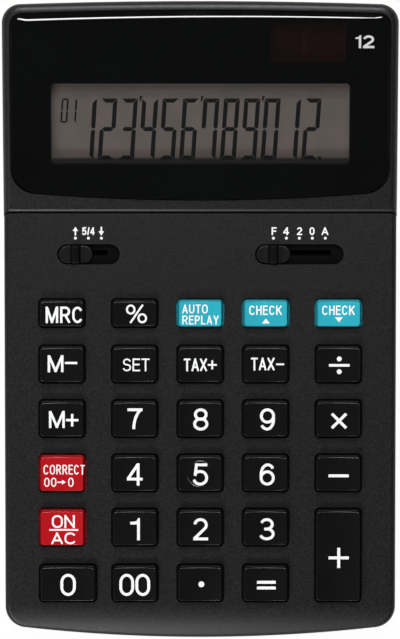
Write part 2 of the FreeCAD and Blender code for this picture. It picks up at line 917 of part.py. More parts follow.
def head_block(inset, front, corner, z0, z1):
    """The head's plan, set in at the sides and the rear, and drawn up."""
    return plan_block(head_half - inset, front, 0.0, 0.0, rear_y - inset, head_bow, corner, z0, z1)


def head_slab(low, top):
    """A wide slab that slopes with the head's top, between two heights in head coordinates."""
    return on_head(box(-high, high, -high, total_length, low, top))


def head_top_block():
    """The head's outside under its sloping top, with its rounded upper edges."""
    block = head_block(0.0, head_front_y, rear_corner, 0.0, high)
    solid = block.common(head_slab(-high, 0.0))
    front = head_front_y - cut_spare
    corner = rear_corner - rim_inset
    plan_inner = head_block(rim_inset, front, corner, -cut_spare, high + cut_spare)
    slab_inner = head_slab(-high, -rim_inset)
    return solid.makeFillet(head_edge_round, top_rim(solid, plan_inner, slab_inner))


def head_side(radius, top_drop, lip_round):
    """The head's side shape: barrel round the hinge in front, level with its top and bottom."""
    tilt = math.radians(head_slope)
    lip_angle = math.pi - math.asin(hinge_drop / barrel_radius)
    low_angle = 1.5 * math.pi + tilt
    if lip_round > 0:
        lip_angle += lip_round / radius
    far = total_length

    def on_barrel(angle):
        return Vector(-high, hinge_y + radius * math.cos(angle), hinge_z + radius * math.sin(angle))

    def on_top(run):
        y = lip_y + run * head_cos + top_drop * head_sin
        z = lip_z + run * head_sin - top_drop * head_cos
        return Vector(-high, y, z)

    lip = on_barrel(lip_angle)
    low = on_barrel(low_angle)
    middle = on_barrel((lip_angle + low_angle) / 2)
    top_start = on_top(lip_round)
    if lip_round == 0:
        reach = math.sqrt(radius ** 2 - (barrel_plane() - top_drop) ** 2)
        top_start = on_top(hinge_run() - reach)
        lip = top_start
    top_end = on_top(far)
    low_end = Vector(-high, low.y + far * head_cos, low.z + far * head_sin)
    edges = [arc(lip, middle, low), line(low, low_end), line(low_end, top_end), line(top_end, top_start)]
    if lip_round > 0:
        crest = on_barrel(lip_angle - lip_round / radius)
        corner = crest * 0.5 + (top_start + lip) * 0.25
        edges.append(arc(top_start, corner, lip))
    return Part.Face(Part.Wire(edges)).extrude(Vector(2 * high, 0, 0))


def barrel_plane():
    """How far the hinge lies under the head's top face."""
    return hinge_back * head_sin + hinge_drop * head_cos


def hinge_run():
    """How far the hinge lies behind the head's lip, along the top face."""
    return hinge_back * head_cos - hinge_drop * head_sin


def head_hollow():
    """The hollow of the head, under the plate that carries the lens."""
    block = head_block(head_wall, head_front_y, rear_corner - head_wall, 0.0, high)
    return block.common(head_side(barrel_radius - deck_wall, -plate_bottom, 0.0))


def head_shell():
    """The whole head, hollow, before it is parted into frame and rear cover."""
    solid = head_top_block().common(head_side(barrel_radius, 0.0, head_lip_round))
    return solid.cut(head_hollow())


def lens_block(grow, z0, z1):
    """The lens outline in head coordinates, grown by an amount and drawn up."""
    front = lens_margin_front
    rear = head_depth - lens_margin_rear
    half = head_half - lens_margin_side
    return plan_block(
        half + grow,
        front - grow,
        lens_front_bow,
        lens_front_corner + grow,
        rear + grow,
        head_bow,
        lens_rear_corner + grow,
        z0,
        z1,
    )


def display_lens():
    """The clear lens with its rounded upper edge."""
    lens = lens_block(0.0, lens_bottom, lens_proud)
    upper = [e for e in lens.Edges if min(v.Z for v in e.Vertexes) > lens_proud - 0.01]
    return on_head(lens.makeFillet(lens_edge_round, upper))


def lens_tape():
    """The ring of tape under the lens."""
    ring = lens_block(-tape_inset, plate_top, lens_bottom)
    hole = lens_block(-tape_inset - tape_width, plate_top, lens_bottom)
    return on_head(ring.cut(hole))


def head_post_places():
    """Where the head's two halves are screwed together, in head coordinates."""
    x = head_half - head_post_inset
    rows = (head_screw_from_front, head_depth - head_screw_from_rear)
    return [(side * x, y) for side in (-1, 1) for y in rows]


def head_frame():
    """The upper half of the head: rim, plate with two windows, and screw posts."""
    frame = head_shell().common(head_slab(-head_split_depth, high))
    window = rounded_block(
        window_width + 2 * window_margin,
        window_depth + 2 * window_margin,
        window_corner,
        0.0,
        window_from_front,
        plate_bottom,
        plate_top,
    )
    solar = rounded_block(
        solar_width - 2 * solar_margin,
        solar_depth - 2 * solar_margin,
        solar_corner,
        solar_from_middle,
        solar_from_front,
        plate_bottom,
        plate_top,
    )
    holes = [on_head(lens_block(lens_gap, plate_top, cut_spare)), on_head(window), on_head(solar)]
    posts = []
    for x, y in head_post_places():
        post = rod(head_post_radius, x, y, -head_split_depth, plate_bottom + frame_plate / 3)
        posts.append(on_head(post))
        hole = rod(board_screw_radius + screw_clearance, x, y, -head_split_depth, plate_bottom)
        holes.append(on_head(hole))
    return fuse_all([frame] + posts).cut(holes)


def barrel_slot(x0, x1, low, high_angle):
    """A sector round the hinge between two angles, to cut a slot through the barrel."""
    reach = 2 * barrel_radius
    steps = [low + (high_angle - low) * share for share in (0.0, 0.5, 1.0)]
    points = [(hinge_y, hinge_z)]
    for angle in steps:
        turn = math.radians(angle)
        points.append((hinge_y + reach * math.cos(turn), hinge_z + reach * math.sin(turn)))
    return side_slab(points, x0, x1)


def head_rear_cover():
    """The lower half of the head: barrel, cheeks for the hinge pins, slots and screw posts."""
    step = head_block(rear_cover_step, head_front_y, rear_corner, 0.0, high)
    cover = head_shell().common(head_slab(-high, -head_split_depth)).common(step)
    pieces = [cover]
    inner = tower_width / 2 + tower_side_gap
    cheek_low = barrel_radius - deck_wall / 2
    for side in (-1, 1):
        for way in (-1, 1):
            x = side * tower_offset + way * (inner + cheek_thickness / 2)
            x0 = x - cheek_thickness / 2
            x1 = x + cheek_thickness / 2
            ring = cross_rod(tower_radius, x0, x1, hinge_y, hinge_z)
            web = box(x0, x1, hinge_y, hinge_y + tower_radius, hinge_z - cheek_low, hinge_z)
            pieces.append(ring.fuse(web))
    bottom = -head_thickness
    for x, y in head_post_places():
        pieces.append(on_head(rod(head_post_radius, x, y, bottom + deck_wall / 2, -head_split_depth)))
    neck_half = math.degrees(math.asin(tower_neck / 2 / (barrel_radius - deck_wall)))
    slot_low = 270.0 - tilt_limit - neck_half - slot_spare_angle
    slot_high = 270.0 + neck_half + slot_spare_angle
    half = ribbon_width / 2 + ribbon_slot_spare
    holes = [barrel_slot(-half, half, slot_low, slot_high + slot_spare_angle)]
    reach = inner + cheek_thickness
    radius = hinge_pin_radius + hinge_pin_clearance
    for side in (-1, 1):
        x = side * tower_offset
        holes.append(barrel_slot(x - inner, x + inner, slot_low, slot_high))
        holes.append(cross_rod(radius, x - reach, x + reach, hinge_y, hinge_z))
    seat = head_screw_seat()
    for x, y in head_post_places():
        holes.append(on_head(rod(board_screw_radius + screw_clearance, x, y, -high, 0.0)))
        holes.append(on_head(rod(board_screw_head + screw_seat_gap, x, y, -high, seat)))
    return fuse_all(pieces).cut(holes)


def head_screw_seat():
    """The height of the screws' seats, in head coordinates."""
    return -head_thickness + 2 * deck_wall


def head_screws():
    """Four screws that hold the head's halves together."""
    length = plate_bottom - screw_tip_gap - head_screw_seat()
    made = []
    for x, y in head_post_places():
        made.append(on_head(small_screw(x, y, head_screw_seat(), length)))
    return Part.makeCompound(made)


def hinge_pins():
    """Two steel pins, pressed into the towers, that the head turns on."""
    inner = tower_width / 2 + tower_side_gap + cheek_thickness
    pins = []
    for side in (-1, 1):
        x = side * tower_offset
        pins.append(cross_rod(hinge_pin_radius, x - inner, x + inner, hinge_y, hinge_z))
    return Part.makeCompound(pins)


def hinge_washers():
    """A friction washer on each side of each tower."""
    rings = []
    for side in (-1, 1):
        for way in (-1, 1):
            x = side * tower_offset + way * (tower_width / 2 + tower_side_gap / 2)
            x0 = x - washer_thickness / 2
            x1 = x + washer_thickness / 2
            ring = cross_rod(washer_radius, x0, x1, hinge_y, hinge_z)
            hole = cross_rod(hinge_pin_radius + hinge_pin_clearance, x0, x1, hinge_y, hinge_z)
            rings.append(ring.cut(hole))
    return Part.makeCompound(rings)


def lcd_panel():
    """Two sheets of glass, the lower one longer, with the liquid crystal between."""
    half = lcd_width / 2
    deep = lcd_depth / 2
    front = window_from_front - deep
    rear = window_from_front + deep
    middle = lcd_top - lcd_thickness / 2
    upper = box(-half, half, front + connector_depth, rear, middle, lcd_top)
    lower = box(-half, half, front, rear, lcd_top - lcd_thickness, middle)
    return on_head(upper.fuse(lower).removeSplitter())


def elastomer_connector():
    """The striped rubber bar that joins the glass to the display board."""
    half = lcd_width / 2 - connector_inset
    y0 = window_from_front - lcd_depth / 2
    low = display_board_top
    return on_head(box(-half, half, y0, y0 + connector_depth, low, low + connector_height))


def display_board():
    """The display's circuit board."""
    half = lcd_width / 2 - display_board_inset
    y0 = display_board_front
    y1 = y0 + display_board_depth
    return on_head(box(-half, half, y0, y1, display_board_bottom, display_board_top))


def controller_drop():
    """The controller chip under its drop of black resin."""
    ball = (resin_radius ** 2 + resin_rise ** 2) / (2 * resin_rise)
    y = window_from_front
    z = display_board_bottom
    sphere = Part.makeSphere(ball, Vector(0, y, z + ball - resin_rise))
    return on_head(sphere.common(rod(2 * resin_radius, 0, y, z - 2 * resin_rise, z)))


def board_components():
    """Two cans, a crystal and a row of small parts on the underside of the display board."""
    z = display_board_bottom
    y = window_from_front
    made = []
    for step in (2, 3):
        x = -resin_radius - step * can_length
        start = Vector(x, y - can_length / 2, z - can_radius)
        made.append(Part.makeCylinder(can_radius, can_length, start, Vector(0, 1, 0)))
    for count in range(6):
        x = 2 * resin_radius + chip_part_pitch * count
        y0 = y - chip_part_length / 2
        made.append(box(x, x + chip_part_width, y0, y0 + chip_part_length, z - chip_part_height, z))
    x = -resin_radius - 1.5 * crystal_length
    y0 = y - crystal_height
    made.append(box(x, x + crystal_length, y0, y0 + 2 * crystal_height, z - crystal_height, z))
    return on_head(Part.makeCompound(made))


def solar_cell():
    """The glass plate of the solar cell, taped under its window."""
    x = solar_from_middle - solar_width / 2
    y = solar_from_front - solar_depth / 2
    z = plate_bottom - solar_thickness
    return on_head(box(x, x + solar_width, y, y + solar_depth, z, plate_bottom))


def bent_lead(points, radius):
    """A round lead along straight runs with a ball at each bend."""
    pieces = []
    for a, b in zip(points[:-1], points[1:]):
        pieces.append(Part.makeCylinder(radius, (b - a).Length, a, b - a))
    for bend in points[1:-1]:
        pieces.append(Part.makeSphere(radius, bend))
    whole = pieces[0]
    for piece in pieces[1:]:
        whole = whole.fuse(piece)
    return whole


def solar_leads():
    """Two leads from the solar cell down to the display board."""
    z0 = plate_bottom - solar_thickness
    z1 = display_board_top
    made = []
    for way in (-1, 1):
        x = solar_from_middle + way * solar_lead_offset
        y0 = display_board_front + display_board_depth - 2 * lead_side_gap
        points = [
            Vector(x, solar_from_front, z0 - lead_radius),
            Vector(x, y0, z0 - 4 * lead_radius),
            Vector(x, y0, z1),
        ]
        made.append(bent_lead(points, lead_radius))
    return on_head(Part.makeCompound(made))


def battery_door():
    """The door that slides out of the rear edge, with side tongues and finger grooves."""
    y0 = case_rear_y - door_reach
    half = door_width / 2
    wide = half + door_tongue
    top = floor_z + door_thickness
    door = box(battery_x - half, battery_x + half, y0, rear_y, floor_z, top)
    tongues = box(battery_x - wide, battery_x + wide, y0, rear_y, top - door_tongue_thickness, top)
    door = door.fuse(tongues)
    door = door.common(case_block(0.0, 0.0, high, lower_case_step)).removeSplitter()
    x0 = battery_x - door_grip_length / 2
    x1 = battery_x + door_grip_length / 2
    grooves = []
    for count in range(door_grip_count):
        y0 = case_rear_y - door_grip_from_rear - count * door_grip_pitch
        grooves.append(box(x0, x1, y0, y0 + door_grip_width, floor_z, floor_z + door_grip_depth))
    return door.cut(grooves)


def battery_cell():
    """A button cell: wide can below, narrower cap above."""
    low = cell_bottom()
    can = rod(cell_radius, battery_x, battery_y(), low, low + cell_height - cell_step)
    cap = rod(cell_radius - cell_cap_inset, battery_x, battery_y(), low, low + cell_height)
    return can.fuse(cap).removeSplitter()


def battery_contact_negative():
    """The sprung strip over the cell."""
    low = cell_bottom() + cell_height
    y = battery_y()
    reach = cell_radius + cell_clearance + cup_wall
    half = contact_width / 2
    return box(battery_x - reach, battery_x + reach, y - half, y + half, low, low + contact_thickness)


def battery_contact_positive():
    """The upright strip beside the cell, with a foot on the platform."""
    x0 = battery_x + cell_radius + running_gap / 2
    y = battery_y()
    half = contact_width / 2
    low = floor_top + platform_height
    top = cell_bottom() + cell_height - 2 * cell_step
    strip = box(x0, x0 + contact_thickness, y - half, y + half, low, top)
    foot = box(x0, x0 + contact_tab, y - half, y + half, low, low + contact_thickness)
    return strip.fuse(foot).removeSplitter()


def ribbon_route():
    """The ribbon's middle line as Y and Z, from the keyboard board to the display board."""
    half = ribbon_thickness / 2
    under_key_board = board_bottom - half
    under_head_board = display_board_bottom - half
    start = on_keyboard(Part.Vertex(0, -board_rear_inset - ribbon_overlap, under_key_board)).Point
    turn = on_keyboard(Part.Vertex(0, -board_rear_inset + ribbon_overlap / 3, under_key_board)).Point
    end = on_head(Part.Vertex(0, display_board_front + ribbon_overlap, under_head_board)).Point
    near = on_head(Part.Vertex(0, display_board_front - ribbon_overlap / 3, under_head_board)).Point
    low = floor_top + ribbon_thickness
    up = hinge_y + half
    trough_front = hinge_y - trough_radius - deck_wall
    return [
        (start.y, start.z),
        (turn.y, turn.z),
        (trough_front - ribbon_overlap / 2, low + ribbon_overlap),
        (trough_front + ribbon_overlap, low),
        (up - ribbon_overlap / 3, low),
        (up, low + ribbon_overlap / 3),
        (up, hinge_z - hinge_drop),
        (near.y, near.z),
        (end.y, end.z),
    ]


def ribbon():
    """The flat cable across the hinge: the route given a thickness on both sides."""
    points = ribbon_route()
    half = ribbon_thickness / 2
    left = []
    right = []
    for index, (y, z) in enumerate(points):
        before = points[max(index - 1, 0)]
        after = points[min(index + 1, len(points) - 1)]
        ins = unit(y - before[0], z - before[1]) if index > 0 else None
        outs = unit(after[0] - y, after[1] - z) if index < len(points) - 1 else None
        ins = ins or outs
        outs = outs or ins
        ny = -(ins[1] + outs[1])
        nz = ins[0] + outs[0]
        scale = half * 2 / (ny * ny + nz * nz)
        left.append((y + ny * scale, z + nz * scale))
        right.append((y - ny * scale, z - nz * scale))
    return side_slab(left + right[::-1], -ribbon_width / 2, ribbon_width / 2)


def unit(y, z):
    """A direction of length one."""
    size = math.hypot(y, z)
    return (y / size, z / size)


def battery_leads():
    """Two leads from the battery contacts, under the trough, to the keyboard board."""
    low = floor_top + lead_radius
    inset = -2 * board_rear_inset
    board_spot = on_keyboard(Part.Vertex(0, inset, board_bottom)).Point
    y1 = board_spot.y
    top = board_spot.z - running_gap / 2
    y = battery_y()
    side = door_width / 2 + door_tongue + cup_wall + lead_side_gap
    foot_x = battery_x + cell_radius + contact_tab - 2 * lead_radius
    foot_z = floor_top + platform_height + contact_thickness + lead_radius
    right = battery_x + side
    right_run = [
        Vector(foot_x, y, foot_z),
        Vector(right, y, foot_z),
        Vector(right, y, low),
        Vector(right, y1, low),
        Vector(right, y1, top),
    ]
    cup = cell_radius + cell_clearance + cup_wall
    strip_z = cell_bottom() + cell_height + contact_thickness + lead_radius
    left = battery_x - side
    left_run = [
        Vector(battery_x - cell_radius, y, strip_z),
        Vector(battery_x - cup - cup_wall, y, strip_z),
        Vector(left, y, low),
        Vector(left, y1, low),
        Vector(left, y1, top),
    ]
    return Part.makeCompound([bent_lead(run, lead_radius) for run in (right_run, left_run)])


def build():
    """Every node's shape by its name."""
    nodes = {
        "upper_case": upper_case(),
        "lower_case": lower_case(),
        "rubber_feet": feet(),
        "case_screws": case_screws(),
        "board_screws": board_screws(),
        "main_board": main_board(),
        "keypad_membrane": keypad_membrane(),
        "battery_door": battery_door(),
        "battery_cell": battery_cell(),
        "battery_contact_negative": battery_contact_negative(),
        "battery_contact_positive": battery_contact_positive(),
        "battery_leads": battery_leads(),
        "hinge_pins": hinge_pins(),
        "hinge_washers": hinge_washers(),
        "hinge_ribbon": ribbon(),
        "head_frame": head_frame(),
        "head_rear_cover": head_rear_cover(),
        "head_screws": head_screws(),
        "display_lens": display_lens(),
        "lens_tape": lens_tape(),
        "lcd_panel": lcd_panel(),
        "elastomer_connector": elastomer_connector(),
        "display_board": display_board(),
        "controller_drop": controller_drop(),
        "board_components": board_components(),
        "solar_cell": solar_cell(),
        "solar_leads": solar_leads(),
    }
    for name, middle, steps in switches():
        nodes[name + "_knob"] = switch_knob(middle, steps)
        nodes[name + "_wiper"] = switch_wiper(middle, steps)
    nodes.update(keys())
    return nodes


os.makedirs("parts", exist_ok=True)
for node, shape in build().items():
    shape.exportStep("parts/" + node + ".step")
    print(node, len(shape.Solids), round(shape.Volume, 1), shape.isValid())
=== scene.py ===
# %% [markdown]
# # A desktop calculator with a tilting display
#
# The calculator's solids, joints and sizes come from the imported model, which is loaded as a fixed frame.
# This lesson dresses it: every surface that the eye reaches gets its finish, and the pieces whose fine form
# matters most are made again as smooth surfaces worked out with numpy. Each of them stands where its solid
# stands and rides on the same body.

# %% Load the frame
import json
import math

import bmesh
import bpy
import numpy as np
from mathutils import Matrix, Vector
from mathutils.geometry import delaunay_2d_cdt

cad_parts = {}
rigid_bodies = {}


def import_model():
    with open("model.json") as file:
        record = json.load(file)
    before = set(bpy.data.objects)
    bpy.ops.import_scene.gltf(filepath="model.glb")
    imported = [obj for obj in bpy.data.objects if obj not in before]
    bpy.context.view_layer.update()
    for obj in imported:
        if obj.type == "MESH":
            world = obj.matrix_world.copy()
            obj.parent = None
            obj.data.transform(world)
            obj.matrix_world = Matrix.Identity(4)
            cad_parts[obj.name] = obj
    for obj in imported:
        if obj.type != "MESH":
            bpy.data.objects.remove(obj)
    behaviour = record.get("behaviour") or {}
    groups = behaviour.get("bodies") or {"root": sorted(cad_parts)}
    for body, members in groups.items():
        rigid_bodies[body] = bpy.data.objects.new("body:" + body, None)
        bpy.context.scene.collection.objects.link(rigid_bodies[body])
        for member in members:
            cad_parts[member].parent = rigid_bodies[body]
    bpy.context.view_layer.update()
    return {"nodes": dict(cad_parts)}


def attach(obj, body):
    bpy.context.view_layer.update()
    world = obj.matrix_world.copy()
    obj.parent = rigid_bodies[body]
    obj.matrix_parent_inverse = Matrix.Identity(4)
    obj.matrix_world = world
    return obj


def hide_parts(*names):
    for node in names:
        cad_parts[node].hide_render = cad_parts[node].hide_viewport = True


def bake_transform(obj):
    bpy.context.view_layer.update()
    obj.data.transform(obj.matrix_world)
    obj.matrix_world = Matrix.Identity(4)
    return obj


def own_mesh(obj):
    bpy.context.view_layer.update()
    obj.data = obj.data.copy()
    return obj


for thing in list(bpy.data.objects):
    bpy.data.objects.remove(thing)
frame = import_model()


def put(name, data):
    """A new object in the scene."""
    made = bpy.data.objects.new(name, data)
    bpy.context.scene.collection.objects.link(made)
    return made

# %% [markdown]
# ## Two leaning faces
#
# The keyboard leans back by 3.5 degrees and the display head by 10, both about the line that runs from left
# to right. A key or a digit is easiest to describe square to its own face. So the helpers below work in
# millimetres in leaned axes, and one function stands the finished points back up into the frame, in metres.
# The same turn, read backwards, measures a solid in leaned axes.

# %% Leaned axes
KEYBOARD_SLOPE = math.radians(3.5)
HEAD_SLOPE = math.radians(10.0)
# From the crystal panel's edges to the window's, at the sides and at front and rear.
GLASS_SIDE = 3.75
GLASS_EDGE = 3.35


def leaned_box(node, slope):
    """Lowest and highest corner of a solid in millimetres, in axes leaned by the slope.

    A point (y, z) of the frame becomes (y cos + z sin, z cos - y sin) of the slope.
    """
    solid = frame["nodes"][node]
    flat = np.empty(3 * len(solid.data.vertices))
    solid.data.vertices.foreach_get("co", flat)
    turn = np.array(solid.matrix_world)
    x, y, z = 1000 * (flat.reshape(-1, 3) @ turn[:3, :3].T + turn[:3, 3]).T
    c, s = math.cos(slope), math.sin(slope)
    leaned = np.stack([x, y * c + z * s, z * c - y * s])
    return leaned.min(axis=1), leaned.max(axis=1)


def stand_up(points, slope):
    """Points in leaned millimetres as points of the frame in metres: (y cos - z sin, y sin + z cos)."""
    x, y, z = np.asarray(points, float).T / 1000
    c, s = math.cos(slope), math.sin(slope)
    return np.stack([x, y * c - z * s, y * s + z * c], axis=1)


def inset_box(node, slope, side, edge):
    """A solid's box (x0, x1, y0, y1) in leaned millimetres, less a margin at the sides and at front and rear."""
    low, high = leaned_box(node, slope)
    return low[0] + side, high[0] - side, low[1] + edge, high[1] - edge


deck_z = leaned_box("upper_case", KEYBOARD_SLOPE)[1][2]
lens_low, lens_high = leaned_box("display_lens", HEAD_SLOPE)
glass_top = leaned_box("lcd_panel", HEAD_SLOPE)[1][2]
window = inset_box("lcd_panel", HEAD_SLOPE, GLASS_SIDE, GLASS_EDGE)
print("deck level", round(deck_z, 3), "lens", lens_low.round(2), lens_high.round(2))

# %% [markdown]
# ## Camera
#
# The photograph looks straight down on the calculator from about a metre, with its length upright in the
# picture. A long lens keeps the sides nearly parallel. The focal length follows from how large the case
# stands in a picture of 400 by 639 points.

# %% Camera
PICTURE_HEIGHT = 639
SENSOR = 36.0
FOCAL_IN_POINTS = 3220.0
EYE_PLACE = (-0.00008, 0.00083, 1.0)

eye = bpy.data.cameras.new("eye")
eye.sensor_fit = "AUTO"
eye.sensor_width = SENSOR
eye.lens = FOCAL_IN_POINTS / PICTURE_HEIGHT * SENSOR
eye.clip_start = 0.05
eye.clip_end = 30.0
camera = put("camera", eye)
camera.location = EYE_PLACE
bpy.context.scene.camera = camera
bpy.context.scene.view_settings.view_transform = "Standard"
print("focal length", round(eye.lens, 1), "mm")

# %% [markdown]
# ## Finishes
#
# Most of the calculator is moulded plastic. Its mould was spark eroded, which leaves a fine grain of a few
# tenths of a millimetre. One function makes all such finishes: a broad noise shifts the colour slightly, a
# fine noise raises the grain and varies the gloss. All patterns read Object coordinates, in metres, so they
# keep their scale and stay on the piece.

# %% Nodes of a finish
ROUGHNESS_SPREAD = 0.04
FINE_DETAIL = 3.0


def feed(tree, node, inputs):
    """Fills a node's inputs: another node's output is linked, and anything else is a plain value."""
    for name, value in inputs.items():
        if isinstance(value, bpy.types.NodeSocket):
            tree.links.new(value, node.inputs[name])
        else:
            node.inputs[name].default_value = value


def add(tree, kind, inputs, **settings):
    """A new node of a kind, with its settings and its inputs."""
    node = tree.nodes.new("ShaderNode" + kind)
    for name, value in settings.items():
        setattr(node, name, value)
    feed(tree, node, inputs)
    return node


def shift(colour, share):
    """A colour made lighter or darker by a share."""
    return tuple(min(1.0, part * (1 + share)) for part in colour) + (1.0,)


def object_place(tree):
    """The Object coordinates."""
    return add(tree, "TexCoord", {}).outputs["Object"]


def noise_of(tree, size_mm, detail=2.0, stretch=(1.0, 1.0, 1.0)):
    """A noise whose blobs are about size_mm across, drawn out along an axis by the stretch."""
    scale = [1000 / size_mm / part for part in stretch]
    place = add(tree, "Mapping", {"Vector": object_place(tree), "Scale": scale}).outputs["Vector"]
    return add(tree, "TexNoise", {"Vector": place, "Scale": 1.0, "Detail": detail}).outputs["Fac"]


def span(tree, value, low, high, start=0.3, stop=0.7):
    """A noise value spread from low to high."""
    limits = {"From Min": start, "From Max": stop, "To Min": low, "To Max": high}
    return add(tree, "MapRange", {"Value": value, **limits}).outputs["Result"]


def blend_colours(tree, value, first, second):
    """A colour that runs from the first to the second as the value runs from 0 to 1."""
    node = add(tree, "Mix", {"Factor": value}, data_type="RGBA")
    ends = [index for index, socket in enumerate(node.inputs) if socket.type == "RGBA"]
    feed(tree, node, dict(zip(ends, (first, second))))
    return [socket for socket in node.outputs if socket.type == "RGBA"][0]


def finish(name, colour, roughness, mirror, grain, relief, shade=0.12, blob=9.0, stretch=(1, 1, 1), **sockets):
    """A procedural finish: a colour that shifts by a share over blobs, and a raised grain. Sizes are in mm."""
    made = bpy.data.materials.new(name)
    made.use_nodes = True
    tree = made.node_tree
    broad = span(tree, noise_of(tree, blob), 0.0, 1.0)
    fine = noise_of(tree, grain, FINE_DETAIL, stretch)
    bump = add(tree, "Bump", {"Strength": 1.0, "Distance": relief / 1000, "Height": fine})
    feed(tree, tree.nodes["Principled BSDF"], {
        "Base Color": blend_colours(tree, broad, shift(colour, -shade), shift(colour, shade)),
        "Roughness": span(tree, fine, roughness - ROUGHNESS_SPREAD, roughness + ROUGHNESS_SPREAD),
        "Specular IOR Level": mirror,
        "Normal": bump.outputs["Normal"],
        **sockets,
    })
    return made


# %% Moulded, printed and metal finishes
# Each row gives a name, a colour, the roughness, the level of reflection, and the grain's size and relief.
# Some go on with the colour's shift, the size of its blobs, and how the grain is stretched.
rows = {
    "case_plastic": ("case_moulding", (0.0060, 0.0060, 0.0062), 0.42, 0.225, 0.60, 0.020, 0.50, 0.60),
    "head_plastic": ("head_moulding", (0.0056, 0.0056, 0.0058), 0.39, 0.31, 0.60, 0.014, 0.45, 0.60),
    "key_black": ("key_moulding_black", (0.0036, 0.0036, 0.0040), 0.20, 0.36, 0.40, 0.003),
    "key_red": ("key_moulding_red", (0.350, 0.0050, 0.009), 0.20, 0.36, 0.40, 0.003, 0.05),
    "key_teal": ("key_moulding_teal", (0.0215, 0.315, 0.400), 0.20, 0.30, 0.40, 0.003, 0.05),
    "knob_black": ("knob_moulding", (0.0034, 0.0034, 0.0038), 0.38, 0.16, 0.30, 0.006),
    "ink_white": ("white_ink", (0.70, 0.71, 0.71), 0.45, 0.5, 0.20, 0.002, 0.02),
    "ink_grey": ("grey_ink", (0.45, 0.45, 0.46), 0.45, 0.5, 0.20, 0.002, 0.03),
    "lens_mask": ("black_lens", (0.0012, 0.0016, 0.0014), 0.06, 0.5, 12.0, 0.004, 0.25, 30.0),
    "lcd_ink": ("crystal_digits", (0.0012, 0.0018, 0.0024), 0.35, 0.2, 0.30, 0.001, 0.10),
    "foot_rubber": ("foot_rubber", (0.022, 0.022, 0.022), 0.80, 0.5, 0.50, 0.030),
    "washer_nylon": ("nylon", (0.62, 0.60, 0.54), 0.40, 0.5, 0.60, 0.004, 0.04),
    "silicone_grey": ("silicone", (0.20, 0.20, 0.21), 0.60, 0.5, 0.50, 0.004, 0.06),
    "lead_sleeve": ("lead_sleeve", (0.26, 0.012, 0.012), 0.42, 0.5, 0.60, 0.004, 0.08),
    "tape_black": ("tape", (0.012, 0.012, 0.012), 0.70, 0.5, 0.30, 0.010),
    "resin_black": ("resin", (0.006, 0.006, 0.006), 0.22, 0.5, 3.0, 0.030),
    "connector_rubber": ("striped_rubber", (0.30, 0.10, 0.11), 0.60, 0.5, 0.12, 0.002, 0.2, 0.2, (1, 9, 9)),
    "ribbon_film": ("ribbon", (0.50, 0.44, 0.30), 0.35, 0.5, 0.50, 0.002, 0.3, 0.6, (1, 60, 60)),
    "board_green": ("board", (0.010, 0.105, 0.040), 0.28, 0.5, 1.2, 0.020, 0.25, 2.2),
    "zinc_steel": ("zinc_plate", (0.60, 0.61, 0.63), 0.32, 0.5, 0.25, 0.004, 0.06),
    "steel": ("turned_steel", (0.52, 0.52, 0.53), 0.24, 0.5, 0.10, 0.002, 0.05, 4.0, (20, 1, 1)),
    "nickel": ("nickel", (0.66, 0.63, 0.57), 0.25, 0.5, 0.30, 0.003, 0.06),
    "component_metal": ("component_shell", (0.58, 0.58, 0.60), 0.28, 0.5, 0.40, 0.003, 0.08),
}
more = {slot: {"Metallic": 1.0} for slot in ("zinc_steel", "steel", "nickel", "component_metal")}
more["lens_mask"] = {"IOR": 1.55}
finishes = {slot: finish(*row, **more.get(slot, {})) for slot, row in rows.items()}
pocket_film = finish("pocket_film", (0.0012, 0.0012, 0.0012), 0.50, 0.045, 0.30, 0.004)
carbon = finish("carbon_track", (0.0035, 0.0035, 0.0035), 0.50, 0.14, 0.30, 0.004)
print(len(finishes) + 2, "moulded, printed and metal finishes")

# %% [markdown]
# ## Glass, crystal and solar cell
#
# The clear part of the lens lets most light through and mirrors a little. So its shader has a low alpha,
# and a higher index that makes up for it: together they give the four percent of plain acrylic. Over the
# solar cell the sheet is tinted, with a higher alpha. The display's polariser film is a grey with broad
# faint patches of pink and green. Along the window's front edge its colour holds a dark band of painted
# shade, which stands for the shadow of the lens's print. The solar cell is dark, reddish and split into
# strips by fine lines.

# %% See-through and patterned finishes
ACRYLIC_MIRROR = 0.04
CLEAR_ALPHA = 0.14
TINTED_ALPHA = 0.60
PINK_FILM = (0.129, 0.101, 0.094, 1)
GREEN_FILM = (0.102, 0.091, 0.079, 1)
FILM_SPARKLE = (0.062, 0.057, 0.054, 1)
PAINTED_SHADE_COLOUR = (0.006, 0.005, 0.005, 1)
# Where the film's band of painted shade starts to fade and ends, in metres from the window's front edge.
PAINTED_SHADE_BAND = (0.0010, 0.0018)
CELL_COLOURS = ((0.170, 0.040, 0.036, 1), (0.110, 0.031, 0.031, 1))
CELL_LINE = (0.20, 0.085, 0.08, 1)
CELL_WAVES = 25.0
LINE_SPAN = (0.985, 0.999)


def pane(name, alpha, colour):
    """A clear or tinted sheet, whose index n mirrors ((n - 1) / (n + 1))^2 = 0.04 / alpha."""
    root = math.sqrt(ACRYLIC_MIRROR / alpha)
    made = finish(name, colour, 0.05, 0.5, 14.0, 0.002, 0.10, 30.0, Alpha=alpha, IOR=(1 + root) / (1 - root))
    made.surface_render_method = "BLENDED"
    return made


def recolour(made, colour):
    """A finish with another base colour, the output of a node."""
    feed(made.node_tree, made.node_tree.nodes["Principled BSDF"], {"Base Color": colour})
    return made


